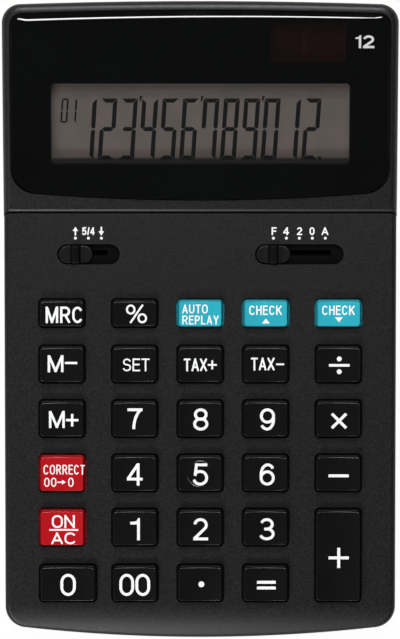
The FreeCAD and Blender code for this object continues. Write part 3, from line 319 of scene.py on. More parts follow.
def polariser():
    """Grey film with broad patches of two tints, a fine sparkle, and painted shade along the front edge."""
    made = finish("display_film", (0.1, 0.1, 0.1), 0.42, 0.5, 0.30, 0.0015)
    tree = made.node_tree
    broad = span(tree, noise_of(tree, 11.0, 1.0), 0.0, 1.0, 0.38, 0.62)
    fine = span(tree, noise_of(tree, 0.5, 1.0), 0.0, 0.16)
    mottled = blend_colours(tree, fine, blend_colours(tree, broad, PINK_FILM, GREEN_FILM), FILM_SPARKLE)
    # Painted shade: the film's colour turns near black along the window's front edge, for the lens print's
    # shadow.
    back = add(tree, "SeparateXYZ", {"Vector": object_place(tree)}).outputs["Y"]
    edge = stand_up([[0, window[2], glass_top]], HEAD_SLOPE)[0][1]
    painted_shade_fade = span(tree, back, 0.0, 1.0, edge + PAINTED_SHADE_BAND[0], edge + PAINTED_SHADE_BAND[1])
    return recolour(made, blend_colours(tree, painted_shade_fade, PAINTED_SHADE_COLOUR, mottled))


def solar_strips():
    """Dark red-brown strips along Y with fine paler lines between them, by a sine along X."""
    made = finish("solar_strips", (0.05, 0.02, 0.02), 0.30, 0.5, 0.8, 0.001)
    tree = made.node_tree
    wave = add(tree, "TexWave", {"Scale": CELL_WAVES, "Vector": object_place(tree)}).outputs["Fac"]
    film = blend_colours(tree, span(tree, noise_of(tree, 5.0), 0.0, 1.0), *CELL_COLOURS)
    return recolour(made, blend_colours(tree, span(tree, wave, 0.0, 1.0, *LINE_SPAN), film, CELL_LINE))


finishes["lens_clear"] = pane("clear_lens", CLEAR_ALPHA, (0.01, 0.01, 0.01))
finishes["lcd_glass"] = polariser()
finishes["solar_glass"] = solar_strips()
tinted = pane("tinted_lens", TINTED_ALPHA, (0.004, 0.002, 0.002))

for node, solid in frame["nodes"].items():
    for slot in solid.material_slots:
        slot.material = finishes[slot.material.name]
print("finishes given to", len(frame["nodes"]), "solids")

# %% [markdown]
# ## Surfaces through rings
#
# A key, a knob and the lens are all closed surfaces that pass through a stack of closed rings. One unit
# outline serves them all: a rounded rectangle is a core point, one of four or on a line between two, plus
# the corner radius times a direction. With the same outline for every ring, the rings join by plain quads,
# and a pole closes each end.

# %% Boxes, circles and rings


def middle_box(width, depth, x=0.0, y=0.0):
    """A box (x0, x1, y0, y1) round (x, y)."""
    return x - width / 2, x + width / 2, y - depth / 2, y + depth / 2


def flared(box, out):
    """A box made larger all round."""
    return box[0] - out, box[1] + out, box[2] - out, box[3] + out


def corners(box):
    """A box's four corners, anticlockwise."""
    x0, x1, y0, y1 = box
    return [(x0, y0), (x1, y0), (x1, y1), (x0, y1)]


def circle(x, y, radius, z, count=24):
    """Points round an upright axis: (x + r cos t, y + r sin t, z)."""
    t = np.linspace(0, 2 * math.pi, count, endpoint=False)
    return np.stack([x + radius * np.cos(t), y + radius * np.sin(t), np.full(count, z)], axis=1)


def unit_outline(corner_steps, wide_steps, deep_steps):
    """Core shares and directions of a rounded rectangle's points, anticlockwise from the right-hand side.

    A corner's points turn their direction by a quarter while the core stands still. A side's points
    move the core along a line while the direction stands still.
    """
    cores, directions = [], []
    signs = [(1, 1), (-1, 1), (-1, -1), (1, -1)]
    for q in range(4):
        angles = math.pi / 2 * (q + np.linspace(0, 1, corner_steps))
        cores.append(np.repeat([signs[q]], corner_steps, axis=0))
        directions.append(np.stack([np.cos(angles), np.sin(angles)], axis=1))
        steps = wide_steps if q % 2 == 0 else deep_steps
        share = np.linspace(0, 1, steps + 2)[1:-1, None]
        cores.append((1 - share) * np.array(signs[q]) + share * np.array(signs[(q + 1) % 4]))
        directions.append(np.repeat(directions[-1][-1:], steps, axis=0))
    return np.concatenate(cores), np.concatenate(directions)


def ring(unit, box, radius, z, bow=0.0, rear_bow=0.0):
    """One ring: middle + core * (half size - radius) + direction * radius, at height z.

    With a bow, the front or rear side swells outwards by bow * (1 - (x / half)^2), less round the corners.
    """
    core, direction = unit
    x0, x1, y0, y1 = box
    half_x, half_y = (x1 - x0) / 2, (y1 - y0) / 2
    x = (x0 + x1) / 2 + core[:, 0] * (half_x - radius) + direction[:, 0] * radius
    y = (y0 + y1) / 2 + core[:, 1] * (half_y - radius) + direction[:, 1] * radius
    across = (x - (x0 + x1) / 2) / half_x
    swell = rear_bow * np.clip(direction[:, 1], 0, 1) - bow * np.clip(-direction[:, 1], 0, 1)
    y = y + swell * (1 - across ** 2)
    return np.stack([x, y, np.broadcast_to(z, x.shape)], axis=1)


def through_rings(rings, first_pole=None, last_pole=None, closed=False):
    """Points and faces of a surface through closed rings, between two poles or back to the first ring.

    Ring i's point j joins its neighbours in a quad (i, j), (i + 1, j), (i + 1, j + 1), (i, j + 1).
    """
    around = len(rings[0])
    i = np.arange(len(rings) if closed else len(rings) - 1)[:, None] * around
    after = (i + around) % (around * len(rings))
    j = np.arange(around)[None, :]
    k = (j + 1) % around
    faces = np.stack([i + j, after + j, after + k, i + k], axis=-1).reshape(-1, 4).tolist()
    points = np.concatenate(rings)
    for pole, start, way in ((first_pole, 0, 1), (last_pole, (len(rings) - 1) * around, -1)):
        if pole is not None:
            first, second = (j[0], k[0])[::way]
            faces += np.stack([np.full(around, len(points)), start + first, start + second], axis=1).tolist()
            points = np.vstack([points, pole])
    return points, faces


def join(parts):
    """Several pairs of points and faces as one pair."""
    points, faces, count = [], [], 0
    for part_points, part_faces in parts:
        points.append(part_points)
        faces += [[index + count for index in face] for face in part_faces]
        count += len(part_points)
    return np.concatenate(points), faces


def filled(loops, holes):
    """Triangles between an outer loop and holes; the faces index the points of all loops in order."""
    points = np.concatenate([np.asarray(loop)[:, :2] for loop in loops])
    edges, start = [], 0
    for loop in loops:
        edges += [(start + i, start + (i + 1) % len(loop)) for i in range(len(loop))]
        start += len(loop)
    found = delaunay_2d_cdt([Vector(p) for p in points], edges, [], 0, 1e-6)
    origin = [sources[0] for sources in found[3]]
    outer = np.asarray(loops[0])[:, :2]
    kept = []
    for face in found[2]:
        a, b, c = (origin[index] for index in face)
        centre = (points[a] + points[b] + points[c]) / 3
        if any(h[0] < centre[0] < h[1] and h[2] < centre[1] < h[3] for h in holes):
            continue
        if a < len(outer) and b < len(outer) and c < len(outer):
            spans = np.sort([a, b, c])
            middle = outer[spans[0]:spans[2] + 1]
            if len(middle) == 3 and abs(np.cross(points[b] - points[a], points[c] - points[a])) < 1e-7:
                continue
        kept.append((a, b, c))
    return kept


def make_piece(name, shape, slope, body, slot, replaces=(), look=None, sharp=35.0):
    """A mesh piece from leaned millimetres, with its finish, its body and the solids that it stands for."""
    points, faces = shape
    mesh = bpy.data.meshes.new(name)
    mesh.from_pydata(stand_up(points, slope).tolist(), [], faces)
    mesh.materials.append(look or finishes[slot])
    mesh.polygons.foreach_set("use_smooth", np.ones(len(faces), bool))
    mesh.set_sharp_from_angle(angle=math.radians(sharp))
    made = put(name, mesh)
    if body:
        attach(made, body)
    if replaces:
        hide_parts(*replaces)
    return made


# %% [markdown]
# ## Keys
#
# Each key is a hollow cap. Seen from above it has a straight skirt, four leaning sides, a small rounded
# brow and a top that is dished from left to right, so that a finger finds its middle. The rear side leans a
# little more, and its brow is rounder. The brow is a smooth minimum of two heights: that of the leaning
# side, which climbs inwards, and that of the dished top.

# %% Key form
KEY_RISE = 2.8
KEY_SLOPE_HEIGHT = 1.9
KEY_SIDE_LEAN = 0.45
KEY_REAR_LEAN = 0.5
KEY_CORNER = 1.1
KEY_DISH = 0.55
KEY_BROW = 0.34
KEY_REAR_BROW = 1.1
BROW_END = 1.6
KEY_WALL = 1.2
KEY_ROOF = 1.1
KEY_FLANGE = 0.8
KEY_SKIRT_FOOT = -2.1
KEY_FOOT = -2.9
KEY_POST_RADIUS = 1.6
KEY_SHARP = 32.0
DISH_INSET = 0.3
CORNER_LOSS = 0.3
TOP_SHARES = (0.15, 0.35, 0.55, 0.72, 0.86, 0.94)
SIDE_STEPS = (1.45, 1.32, 1.22, 1.15, 1.09, 1.04, 0.99, 0.93, 0.87, 0.8, 0.7, 0.5, 0.3, 0.12, 0.03)
DISC_RADIUS = 4.1
DISC_HEIGHT = 0.2
# The pad's rings: radius, and height as a share of the pad's.
DISC_RINGS = ((1.5, 1), (3, 1), (3.7, 1), (3.9, 0.85), (4.03, 0.55), (DISC_RADIUS, 0), (DISC_RADIUS, -1.5))
key_unit = unit_outline(8, 10, 8)


def smooth_least(a, b, blend):
    """The smaller of two heights, rounded where they are within the blend of each other."""
    share = np.clip(0.5 + 0.5 * (b - a) / blend, 0, 1)
    return b * (1 - share) + a * share - blend * share * (1 - share)


def key_dish(x, width):
    """Height of the dished top: a round trough along the key, deepest on its middle line."""
    half = width / 2 - KEY_SIDE_LEAN - DISH_INSET
    radius = (half ** 2 + KEY_DISH ** 2) / (2 * KEY_DISH)
    return KEY_RISE - KEY_DISH + radius - np.sqrt(radius ** 2 - x ** 2)


def key_cap(width, depth):
    """A hollow key cap round its own middle, square to the keyboard, with the deck at height 0."""
    foot = middle_box(width, depth)
    half_x, half_y = foot[1], foot[3]
    shoulder = KEY_RISE - KEY_SLOPE_HEIGHT

    def leaning(t):
        """The ring at a share t of the leaning side, its height the smooth least of side and dish."""
        x0, x1, y0, _ = flared(foot, -KEY_SIDE_LEAN * t)
        box = (x0, x1, y0, half_y - KEY_REAR_LEAN * t)
        made = ring(key_unit, box, KEY_CORNER - CORNER_LOSS * t, 0)
        blend = KEY_BROW + (KEY_REAR_BROW - KEY_BROW) * np.clip(key_unit[1][:, 1], 0, 1) ** 2
        made[:, 2] = smooth_least(shoulder + KEY_SLOPE_HEIGHT * t, key_dish(made[:, 0], width), blend)
        return made

    brow = leaning(BROW_END)
    middle = np.array([0, (KEY_SIDE_LEAN - KEY_REAR_LEAN) * BROW_END / 2, 0])
    rings = []
    for share in TOP_SHARES:
        inner = middle + share * (brow - middle)
        inner[:, 2] = key_dish(inner[:, 0], width)
        rings.append(inner)
    rings += [brow, *(leaning(t) for t in SIDE_STEPS)]
    skirt = ((0, shoulder - 0.1), (0, KEY_SKIRT_FOOT), (KEY_FLANGE, KEY_SKIRT_FOOT), (KEY_FLANGE, KEY_FOOT))
    rings += [ring(key_unit, flared(foot, out), KEY_CORNER, z) for out, z in skirt]
    roof = KEY_RISE - KEY_DISH - KEY_ROOF
    rings += [ring(key_unit, flared(foot, -KEY_WALL), KEY_CORNER / 2, z) for z in (KEY_FOOT, roof)]
    around = np.arctan2(rings[-1][:, 1] / half_y, rings[-1][:, 0] / half_x)
    post = np.stack([np.cos(around), np.sin(around)], axis=1) * KEY_POST_RADIUS
    rings += [np.column_stack([post, np.full(len(around), z)]) for z in (roof, KEY_FOOT)]
    return through_rings(rings, [0, middle[1], key_dish(0.0, width)], [0, 0, KEY_FOOT])


def finding_disc(width):
    """The low round pad on the middle key: rings that follow the dish, rounded at the rim."""
    middle_y = (KEY_SIDE_LEAN - KEY_REAR_LEAN) / 2
    rings = []
    for radius, rise in DISC_RINGS:
        made = circle(0, middle_y, radius, 0.0, 48)
        made[:, 2] = key_dish(made[:, 0], width) + DISC_HEIGHT * rise
        rings.append(made)
    top = key_dish(0.0, width)
    return through_rings(rings, [0, middle_y, top + DISC_HEIGHT], [0, middle_y, top - 1.5 * DISC_HEIGHT])


# %% [markdown]
# ## Printed words and signs
#
# The legends are printed with a pen of even width, also where the words are narrow. So a letter is a few
# strokes in a unit box, straight ones and arcs, and the pen keeps its width in millimetres however the box
# is stretched. Every stroke becomes convex polygons. A Delaunay triangulation joins those that overlap into
# one flat shape, which then gets a thickness. Its triangles that lie in no stroke are the holes of letters
# such as O.

# %% Strokes
INK_PROUD = 0.03
INK_SUNK = 0.02
CUT_PITCH = 0.6
CUT_ASIDE = 0.0137
ARC_STEPS = 13
LONG_ARC = 300
ROUND_O = (
    [(0, 0.36, 0, 0.64), (1, 0.36, 1, 0.64)],
    [[(0.5, 0.64, 0.5, 0.36, 0, 180)], [(0.5, 0.36, 0.5, 0.36, 180, 360)]],
)

# A letter is its straight strokes (x0, y0, x1, y1) and its curves, each a run of points and arcs
# (middle x, middle y, radius x, radius y, first angle, last angle), with its usual width.
letters = {
    "A": (1.05, [(0, 0, 0.5, 1), (0.5, 1, 1, 0), (0.2, 0.29, 0.8, 0.29)], []),
    "C": (1.05, [], [[(0.5, 0.62, 0.5, 0.38, 28, 180), (0.5, 0.38, 0.5, 0.38, 180, 332)]]),
    "E": (0.88, [(0, 0, 0, 1), (0, 1, 1, 1), (0, 0.53, 0.92, 0.53), (0, 0, 1, 0)], []),
    "F": (0.85, [(0, 0, 0, 1), (0, 1, 1, 1), (0, 0.5, 0.85, 0.5)], []),
    "H": (1.0, [(0, 0, 0, 1), (1, 0, 1, 1), (0, 0.53, 1, 0.53)], []),
    "K": (1.02, [(0, 0, 0, 1), (1, 1, 0, 0.34), (0.36, 0.6, 1, 0)], []),
    "L": (0.82, [(0, 0, 0, 1), (0, 0, 1, 0)], []),
    "M": (1.25, [(0, 0, 0, 1), (0.03, 1, 0.5, 0), (0.5, 0, 0.97, 1), (1, 0, 1, 1)], []),
    "N": (1.05, [(0, 0, 0, 1), (0, 1, 1, 0), (1, 0, 1, 1)], []),
    "O": (1.1, *ROUND_O),
    "P": (0.95, [(0, 0, 0, 1), (0, 1, 0.55, 1), (0, 0.45, 0.55, 0.45)],
          [[(0.55, 0.725, 0.45, 0.275, -90, 90)]]),
    "R": (1.02, [(0, 0, 0, 1), (0, 1, 0.55, 1), (0, 0.47, 0.55, 0.47), (0.52, 0.47, 0.97, 0)],
          [[(0.55, 0.735, 0.42, 0.265, -90, 90)]]),
    "S": (0.98, [], [[(0.5, 0.755, 0.46, 0.245, 12, 270)], [(0.5, 0.255, 0.5, 0.255, -168, 90)]]),
    "T": (0.94, [(0, 1, 1, 1), (0.5, 0, 0.5, 1)], []),
    "U": (1.02, [(0, 0.4, 0, 1), (1, 0.4, 1, 1)], [[(0.5, 0.4, 0.5, 0.4, 180, 360)]]),
    "X": (1.0, [(0, 0, 1, 1), (0, 1, 1, 0)], []),
    "Y": (1.0, [(0, 1, 0.5, 0.42), (1, 1, 0.5, 0.42), (0.5, 0, 0.5, 0.42)], []),
    "/": (0.55, [(0, 0, 1, 1)], []),
    "%": (1.0, [(0.2, 0, 0.8, 1)], [[(0.2, 0.76, 0.2, 0.24, 0, 360)], [(0.8, 0.24, 0.2, 0.24, 0, 360)]]),
    "0": (1.0, *ROUND_O),
    "2": (1.0, [(0.02, 0, 1, 0)], [[(0.5, 0.72, 0.47, 0.28, 172, -36), (0.02, 0.03)]]),
    "3": (1.0, [(0.38, 0.51, 0.47, 0.51)],
          [[(0.47, 0.755, 0.45, 0.245, 162, -90)], [(0.47, 0.258, 0.53, 0.258, 90, -162)]]),
    "4": (1.0, [(0.76, 0, 0.76, 1), (0, 0.26, 1, 0.26), (0.72, 1, 0, 0.3)], []),
    "5": (1.0, [(0.16, 1, 0.93, 1), (0.16, 1, 0.07, 0.5)], [[(0.46, 0.33, 0.54, 0.33, 146, -162)]]),
    "6": (1.0, [], [[(0.5, 0.32, 0.5, 0.32, 0, 360)], [(0.54, 0.5, 0.54, 0.5, 38, 192)]]),
    "7": (1.0, [(0, 1, 1, 1)], [[(1.4, 0, 1.0, 1.1, 115, 180)]]),
    "8": (1.0, [], [[(0.5, 0.755, 0.44, 0.245, 0, 360)], [(0.5, 0.265, 0.5, 0.265, 0, 360)]]),
    "9": (1.0, [], [[(0.5, 0.68, 0.5, 0.32, 0, 360)], [(0.46, 0.5, 0.54, 0.5, 218, 372)]]),
}


def clipped(polygon, low, high):
    """A convex polygon cut off at the box from low to high: each side keeps the part on its inner side."""
    for axis, bound, sign in ((0, low[0], 1), (0, high[0], -1), (1, low[1], 1), (1, high[1], -1)):
        room = [sign * (point[axis] - bound) for point in polygon]
        kept = []
        for i, point in enumerate(polygon):
            if room[i] * room[i - 1] < 0:
                share = room[i - 1] / (room[i - 1] - room[i])
                kept.append(polygon[i - 1] + share * (point - polygon[i - 1]))
            if room[i] >= 0:
                kept.append(point)
        polygon = kept
    return polygon


def straight_stroke(start, end, pen):
    """A pen's width round a line, with the pen's half width beyond both ends."""
    along = (end - start) / np.linalg.norm(end - start) * pen / 2
    across = np.array([-along[1], along[0]])
    return [start - along - across, end + along - across, end + along + across, start - along + across]


def curved_stroke(points, pen):
    """A pen's width round a curve: point plus and minus half a width of its normal, as a run of quads."""
    along = np.gradient(points, axis=0)
    aside = np.stack([-along[:, 1], along[:, 0]], axis=1) / np.linalg.norm(along, axis=1, keepdims=True) * pen / 2
    right, left = points - aside, points + aside
    return [[right[i], right[i + 1], left[i + 1], left[i]] for i in range(len(points) - 1)]


def letter_polygons(name, low, high, pen):
    """A letter's strokes in a box, the pen inside it: centre line = low + pen / 2 + unit * (size - pen)."""
    start, size = np.array(low) + pen / 2, np.array(high) - np.array(low) - pen
    made = []
    for x0, y0, x1, y1 in letters[name][1]:
        made.append(straight_stroke(start + size * (x0, y0), start + size * (x1, y1), pen))
    for curve in letters[name][2]:
        run = []
        for part in curve:
            if len(part) == 2:
                run.append([part])
                continue
            x, y, wide, tall, first, last = part
            turn = np.radians(np.linspace(first, last, ARC_STEPS * (1 if abs(last - first) < LONG_ARC else 2)))
            run.append(np.stack([x + wide * np.cos(turn), y + tall * np.sin(turn)], axis=1))
        made += curved_stroke(start + size * np.concatenate(run), pen)
    cut = [clipped([np.asarray(point, float) for point in polygon], low, high) for polygon in made]
    return [polygon for polygon in cut if len(polygon) > 2]


def word(text, width, height, x, y, pen, gap=0.0):
    """A word of a width and height round (x, y), its letters in their usual proportions, with equal gaps."""
    gap = gap or 0.9 * pen
    usual = [letters[name][0] for name in text]
    unit = (width - gap * (len(text) - 1)) / sum(usual)
    made, left = [], x - width / 2
    for name, share in zip(text, usual):
        made += letter_polygons(name, (left, y - height / 2), (left + share * unit, y + height / 2), pen)
        left += share * unit + gap
    return made


def thick(polygons):
    """Overlapping polygons as one thin closed mesh, top at +1 and underside at -1, walled round its border."""
    points = np.concatenate([np.asarray(polygon, float) for polygon in polygons])
    ends = np.cumsum([len(polygon) for polygon in polygons])
    loops = [list(range(end - len(polygon), end)) for polygon, end in zip(polygons, ends)]
    found = delaunay_2d_cdt([Vector(point) for point in points], [], loops, 1, 1e-5)
    flat = np.array([point[:] for point in found[0]])
    triangles = np.array([face for face, sources in zip(found[2], found[5]) if sources])
    sides = triangles[:, [0, 1, 1, 2, 2, 0]].reshape(-1, 2)
    known = set(map(tuple, sides.tolist()))
    border = np.array([side for side in sides.tolist() if (side[1], side[0]) not in known])
    count = len(flat)
    walls = np.stack([border[:, 0], border[:, 0] + count, border[:, 1] + count, border[:, 1]], axis=1)
    upper, lower = (np.column_stack([flat, np.full(count, side)]) for side in (1.0, -1.0))
    faces = triangles.tolist() + (triangles[:, ::-1] + count).tolist() + walls.tolist()
    return np.concatenate([upper, lower]), faces


# %% [markdown]
# Signs such as plus, divide and the triangles are plain polygons. A finished shape is cut along lines 0.6
# mm apart, so that it bends with the dish, and is laid on the key with its underside sunk a hair into the
# plastic.

# %% Signs


def bar(width, height, x=0.0, y=0.0):
    """A level bar."""
    return corners(middle_box(width, height, x, y))


def dot(radius, x=0.0, y=0.0, count=28):
    """A round dot as a many-sided polygon."""
    return circle(x, y, radius, 0.0, count)[:, :2]


def turned(polygon, angle, x, y):
    """A polygon turned about the origin and moved to (x, y)."""
    c, s = math.cos(angle), math.sin(angle)
    return [(x + px * c - py * s, y + px * s + py * c) for px, py in polygon]


def cross(width, pen, x=0.0, y=0.0, angle=0.0):
    """A plus sign, or a multiplication sign when turned by an eighth: two bars."""
    return [turned(bar(width, pen), angle, x, y), turned(bar(pen, width), angle, x, y)]


def triangle(width, height, x, y, up=True):
    """A solid triangle that points up or down."""
    outline = [(-width / 2, -height / 2), (width / 2, -height / 2), (0, height / 2)]
    return turned(outline, 0 if up else math.pi, x, y)


def arrow(length, head, pen, x, y, angle=0.0):
    """An arrow along +X turned by an angle: a bar and a wide head."""
    shaft = bar(length - head / 2, pen, -head / 4, 0)
    tip = [(length / 2 - head * 0.75, -head / 2), (length / 2, 0), (length / 2 - head * 0.75, head / 2)]
    return [turned(shaft, angle, x, y), turned(tip, angle, x, y)]


def figure_one(width, height, pen, x, y):
    """The figure 1: an upright stem at the right, and a short flag whose upper edge curves up to its top."""
    w, h = width, height
    flag = [(w - pen, 0.715 * h), (w, 0.715 * h), (w, h), (w - 0.72 * pen, h), (w - 0.86 * pen, 0.925 * h),
            (w - 1.2 * pen, 0.875 * h), (w - 1.75 * pen, 0.845 * h), (0, 0.835 * h), (0, 0.715 * h)]
    stem = [(w - pen, 0), (w, 0), (w, 0.8 * h), (w - pen, 0.8 * h)]
    return [turned(polygon, 0, x - w / 2, y - h / 2) for polygon in (stem, flag)]


def lay(polygons, height_at, cut=True):
    """Flat polygons laid on a surface, its height a function of x and y, and cut so that they bend with it."""
    points, faces = thick(polygons)
    if cut:
        work = bmesh.new()
        corners = [work.verts.new(point) for point in points]
        for face in faces:
            work.faces.new([corners[index] for index in face])
        for x in np.arange(math.floor(points[:, 0].min()), points[:, 0].max(), CUT_PITCH):
            everything = work.verts[:] + work.edges[:] + work.faces[:]
            place = (x + CUT_ASIDE, 0, 0)
            bmesh.ops.bisect_plane(work, geom=everything, dist=1e-5, plane_co=place, plane_no=(1, 0, 0))
        work.verts.index_update()
        points = np.array([vert.co[:] for vert in work.verts])
        faces = [[vert.index for vert in face.verts] for face in work.faces]
        work.free()
    side = np.where(points[:, 2] > 0, INK_PROUD, -INK_SUNK)
    return np.column_stack([points[:, :2], height_at(points[:, 0], points[:, 1]) + side]), faces


# %% [markdown]
# ## What each key says
#
# The table gives each legend's width, height, place and pen in millimetres from its key's middle, as
# measured in the photograph.

# %% Legends
EIGHTH = math.pi / 4
FIGURE_PEN = 0.86
FIGURE_HEIGHT = 6.8


def figure(text, width, x, y):
    """One large figure."""
    return word(text, width, FIGURE_HEIGHT, x, y, FIGURE_PEN)


legends = {
    "key_memory_recall": word("MRC", 11.3, 5.0, 0.78, -0.40, 0.70, 0.58),
    "key_percent": word("%", 6.4, 5.7, 0.58, -0.12, 0.60),
    "key_auto_replay": (word("AUTO", 7.8, 2.75, -1.6, 1.37, 0.40)
                        + word("REPLAY", 11.1, 2.75, 0.08, -1.98, 0.40)),
    "key_check_up": word("CHECK", 9.94, 2.9, -0.15, 0.99, 0.42) + [triangle(2.4, 1.5, 0, -2.29)],
    "key_check_down": word("CHECK", 9.94, 2.9, -0.15, 0.99, 0.42) + [triangle(2.4, 1.5, 0, -1.9, False)],
    "key_memory_minus": word("M", 4.8, 5.2, -1.89, 0.28, 0.74) + [bar(3.8, 0.68, 2.82, 0.50)],
    "key_set": word("SET", 8.2, 3.9, 0.46, -0.08, 0.46),
    "key_tax_plus": word("TAX", 7.1, 3.9, -1.48, -0.08, 0.54, 0.3) + cross(2.75, 0.54, 3.66, -0.08),
    "key_tax_minus": word("TAX", 7.2, 3.9, -0.94, 0.17, 0.54, 0.3) + [bar(2.4, 0.54, 4.34, 0.1)],
    "key_divide": [bar(6.3, 0.80, 0.16, -0.23), dot(0.74, 0.16, 1.72), dot(0.74, 0.16, -2.18)],
    "key_memory_plus": word("M", 4.8, 5.2, -1.55, -0.10, 0.74) + cross(3.8, 0.72, 3.13, -0.28),
    "key_seven": figure("7", 4.6, 0.09, -0.08),
    "key_eight": figure("8", 4.6, 0.15, -0.08),
    "key_nine": figure("9", 4.6, 0.5, -0.08),
    "key_multiply": cross(6.2, 0.88, 0.14, -0.53, EIGHTH),
    "key_correct": (word("CORRECT", 12.6, 2.96, 0.64, 1.24, 0.36, 0.38)
                    + word("00", 3.7, 2.8, -3.6, -2.62, 0.36, 0.44)
                    + arrow(2.6, 1.5, 0.38, -0.2, -2.62) + word("0", 1.65, 2.8, 2.68, -2.62, 0.36)),
    "key_four": figure("4", 4.8, 0.0, -0.24),
    "key_five": figure("5", 4.6, 0.1, -0.24),
    "key_six": figure("6", 4.6, 0.45, -0.24),
    "key_minus": [bar(6.2, 0.88, 0.05, -0.66)],
    "key_on_clear": (word("ON", 7.0, 3.97, 0.35, 1.98, 0.56) + [bar(8.85, 0.50, 0.46, -0.56)]
                     + word("AC", 7.6, 3.6, 0.44, -3.17, 0.55)),
    "key_one": figure_one(2.95, FIGURE_HEIGHT, FIGURE_PEN, 0.06, -0.37),
    "key_two": figure("2", 4.6, 0.09, -0.37),
    "key_three": figure("3", 4.6, 0.45, -0.37),
    "key_plus": cross(6.2, 0.90, 0.14, -0.58),
    "key_zero": figure("0", 4.7, 0.05, -0.30),
    "key_double_zero": figure("0", 4.5, -2.5, -0.30) + figure("0", 4.5, 2.4, -0.30),
    "key_point": [dot(0.90, 0.33, -0.12)],
    "key_equals": [bar(5.75, 0.90, 0.22, 0.50), bar(5.75, 0.90, 0.22, -1.25)],
}

# %% Keys and their legends
for name, parts in legends.items():
    low, high = leaned_box(name, KEYBOARD_SLOPE)
    width, depth = (high - low)[:2] - 2 * KEY_FLANGE
    middle = np.array([*((low + high)[:2] / 2), deck_z])
    caps = [key_cap(width, depth)]
    if name == "key_five":
        caps.append(finding_disc(width))
    points, faces = join(caps)
    look = frame["nodes"][name].material_slots[0].material
    slot = next(key for key, made in finishes.items() if made == look)
    cap = (points + middle, faces)
    make_piece(name.replace("key", "cap", 1), cap, KEYBOARD_SLOPE, name, slot, [name], sharp=KEY_SHARP)

    def key_height(x, y, width=width, raised=name == "key_five"):
        """Height of the key's face, with the pad on the middle key."""
        return key_dish(x, width) + np.where(np.hypot(x, y + 0.3) < DISC_RADIUS, DISC_HEIGHT, 0) * raised

    points, faces = lay(parts, key_height)
    make_piece(name.replace("key", "legend", 1), (points + middle, faces), KEYBOARD_SLOPE, name, "ink_white")
print(len(legends), "keys with their legends")

# %% [markdown]
# ## Silicone sheet and domes
#
# Under the keys lies a silicone sheet with one hollow dome per key. A pressed key flattens its dome, and
# each dome is a piece of its own. The sheet has a hole in each dome's foot and one round each of the six
# posts between the key columns.

# %% Sheet and domes
DOME_HEIGHT = 2.0
# The dome's rings from its crown down outside and up inside: radius, and height over the sheet's top.
DOME_PROFILE = (
    (1.1, 2.0), (2.05, 2.0), (2.2, 1.9), (2.75, 1.0), (3.3, 0.0),
    (2.19, 0.0), (1.6, 0.8), (0.8, 0.8),
)
DOME_HOLE = 2.3
POST_HOLE = 2.7
FIRST_POST_BACK = 8.2
# A face whose middle is nearer to a hole's than this share of its radius lies in the hole.
IN_HOLE = 0.985


def key_middle(name):
    """Where the middle of a key is, in leaned millimetres."""
    low, high = leaned_box(name, KEYBOARD_SLOPE)
    return (low + high)[:2] / 2


def drilled_plate(box, z0, z1, bores):
    """A plate with round holes, each given as (x, y, radius)."""
    loops = [np.column_stack([corners(box), np.full(4, z1)])]
    loops += [circle(x, y, radius, z1) for x, y, radius in bores]
    upper = np.concatenate(loops)
    count = len(upper)
    faces = []
    for face in filled(loops, []):
        middle = upper[list(face)].mean(axis=0)
        if all(math.hypot(middle[0] - x, middle[1] - y) > IN_HOLE * radius for x, y, radius in bores):
            faces += [list(face), [count + i for i in face[::-1]]]
    start = 0
    for loop in loops:
        top = start + np.arange(len(loop))
        beside = np.roll(top, -1)
        outer, inner = [count + top, count + beside, beside], [beside, count + beside, count + top]
        faces += np.stack([top, *(inner if start else outer)], axis=1).tolist()
        start += len(loop)
    return np.concatenate([upper, upper * [1, 1, 0] + [0, 0, z0]]), faces


sheet_low, sheet_high = leaned_box("keypad_membrane", KEYBOARD_SLOPE)
sheet_top = sheet_high[2] - DOME_HEIGHT
middles = {name: key_middle(name) for name in legends}
post_x = (middles["key_nine"][0] + middles["key_multiply"][0]) / 2
rows = [middles[name][1] for name in ("key_check_up", "key_eight", "key_five", "key_two", "key_double_zero")]
post_rows = (rows[0] + FIRST_POST_BACK, (rows[1] + rows[2]) / 2, (rows[3] + rows[4]) / 2)
bores = [(*middle, DOME_HOLE) for middle in middles.values()]
for side in (-1, 1):
    bores += [(side * post_x, y, POST_HOLE) for y in post_rows if y + POST_HOLE < sheet_high[1]]
plate = drilled_plate(inset_box("keypad_membrane", KEYBOARD_SLOPE, 0, 0), sheet_low[2], sheet_top, bores)
make_piece("silicone_sheet", plate, KEYBOARD_SLOPE, "base", "silicone_grey", ["keypad_membrane"])
for name, (x, y) in middles.items():
    rings = [circle(x, y, radius, sheet_top + z) for radius, z in DOME_PROFILE]
    shape = through_rings(rings, [x, y, sheet_top + DOME_HEIGHT], [x, y, sheet_top + DOME_PROFILE[-1][1]])
    dome = make_piece(name.replace("key", "dome", 1), shape, KEYBOARD_SLOPE, "base", "silicone_grey")
    foot = stand_up([[x, y, sheet_top]], KEYBOARD_SLOPE)[0]
    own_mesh(dome)
print("sheet with", len(bores), "holes; posts beside the keys at", round(post_x, 2), np.round(post_rows, 2))

# %% [markdown]
# ## Ribbon across the hinge
#
# A flat cable joins the two boards. It leaves the keyboard board, runs along the floor under the trough and
# comes up at the hinge. There it turns up from just below the hinge line to where it meets the display
# board. It is one fixed shape.

# %% Ribbon
# The cable's points (y, z) in millimetres, from the keyboard board to the display board.
RIBBON_ROUTE = (
    (24.6, 11.6), (28.58, 11.84), (28.42, 6.5), (32.9, 3.5), (39.3, 3.5),
    (40.33, 4.5), (40.33, 9.5), (44.65, 11.67), (48.6, 12.36),
)
RIBBON_WIDTH = 14.0
RIBBON_THICK = 0.3
RIBBON_STEP = 0.8


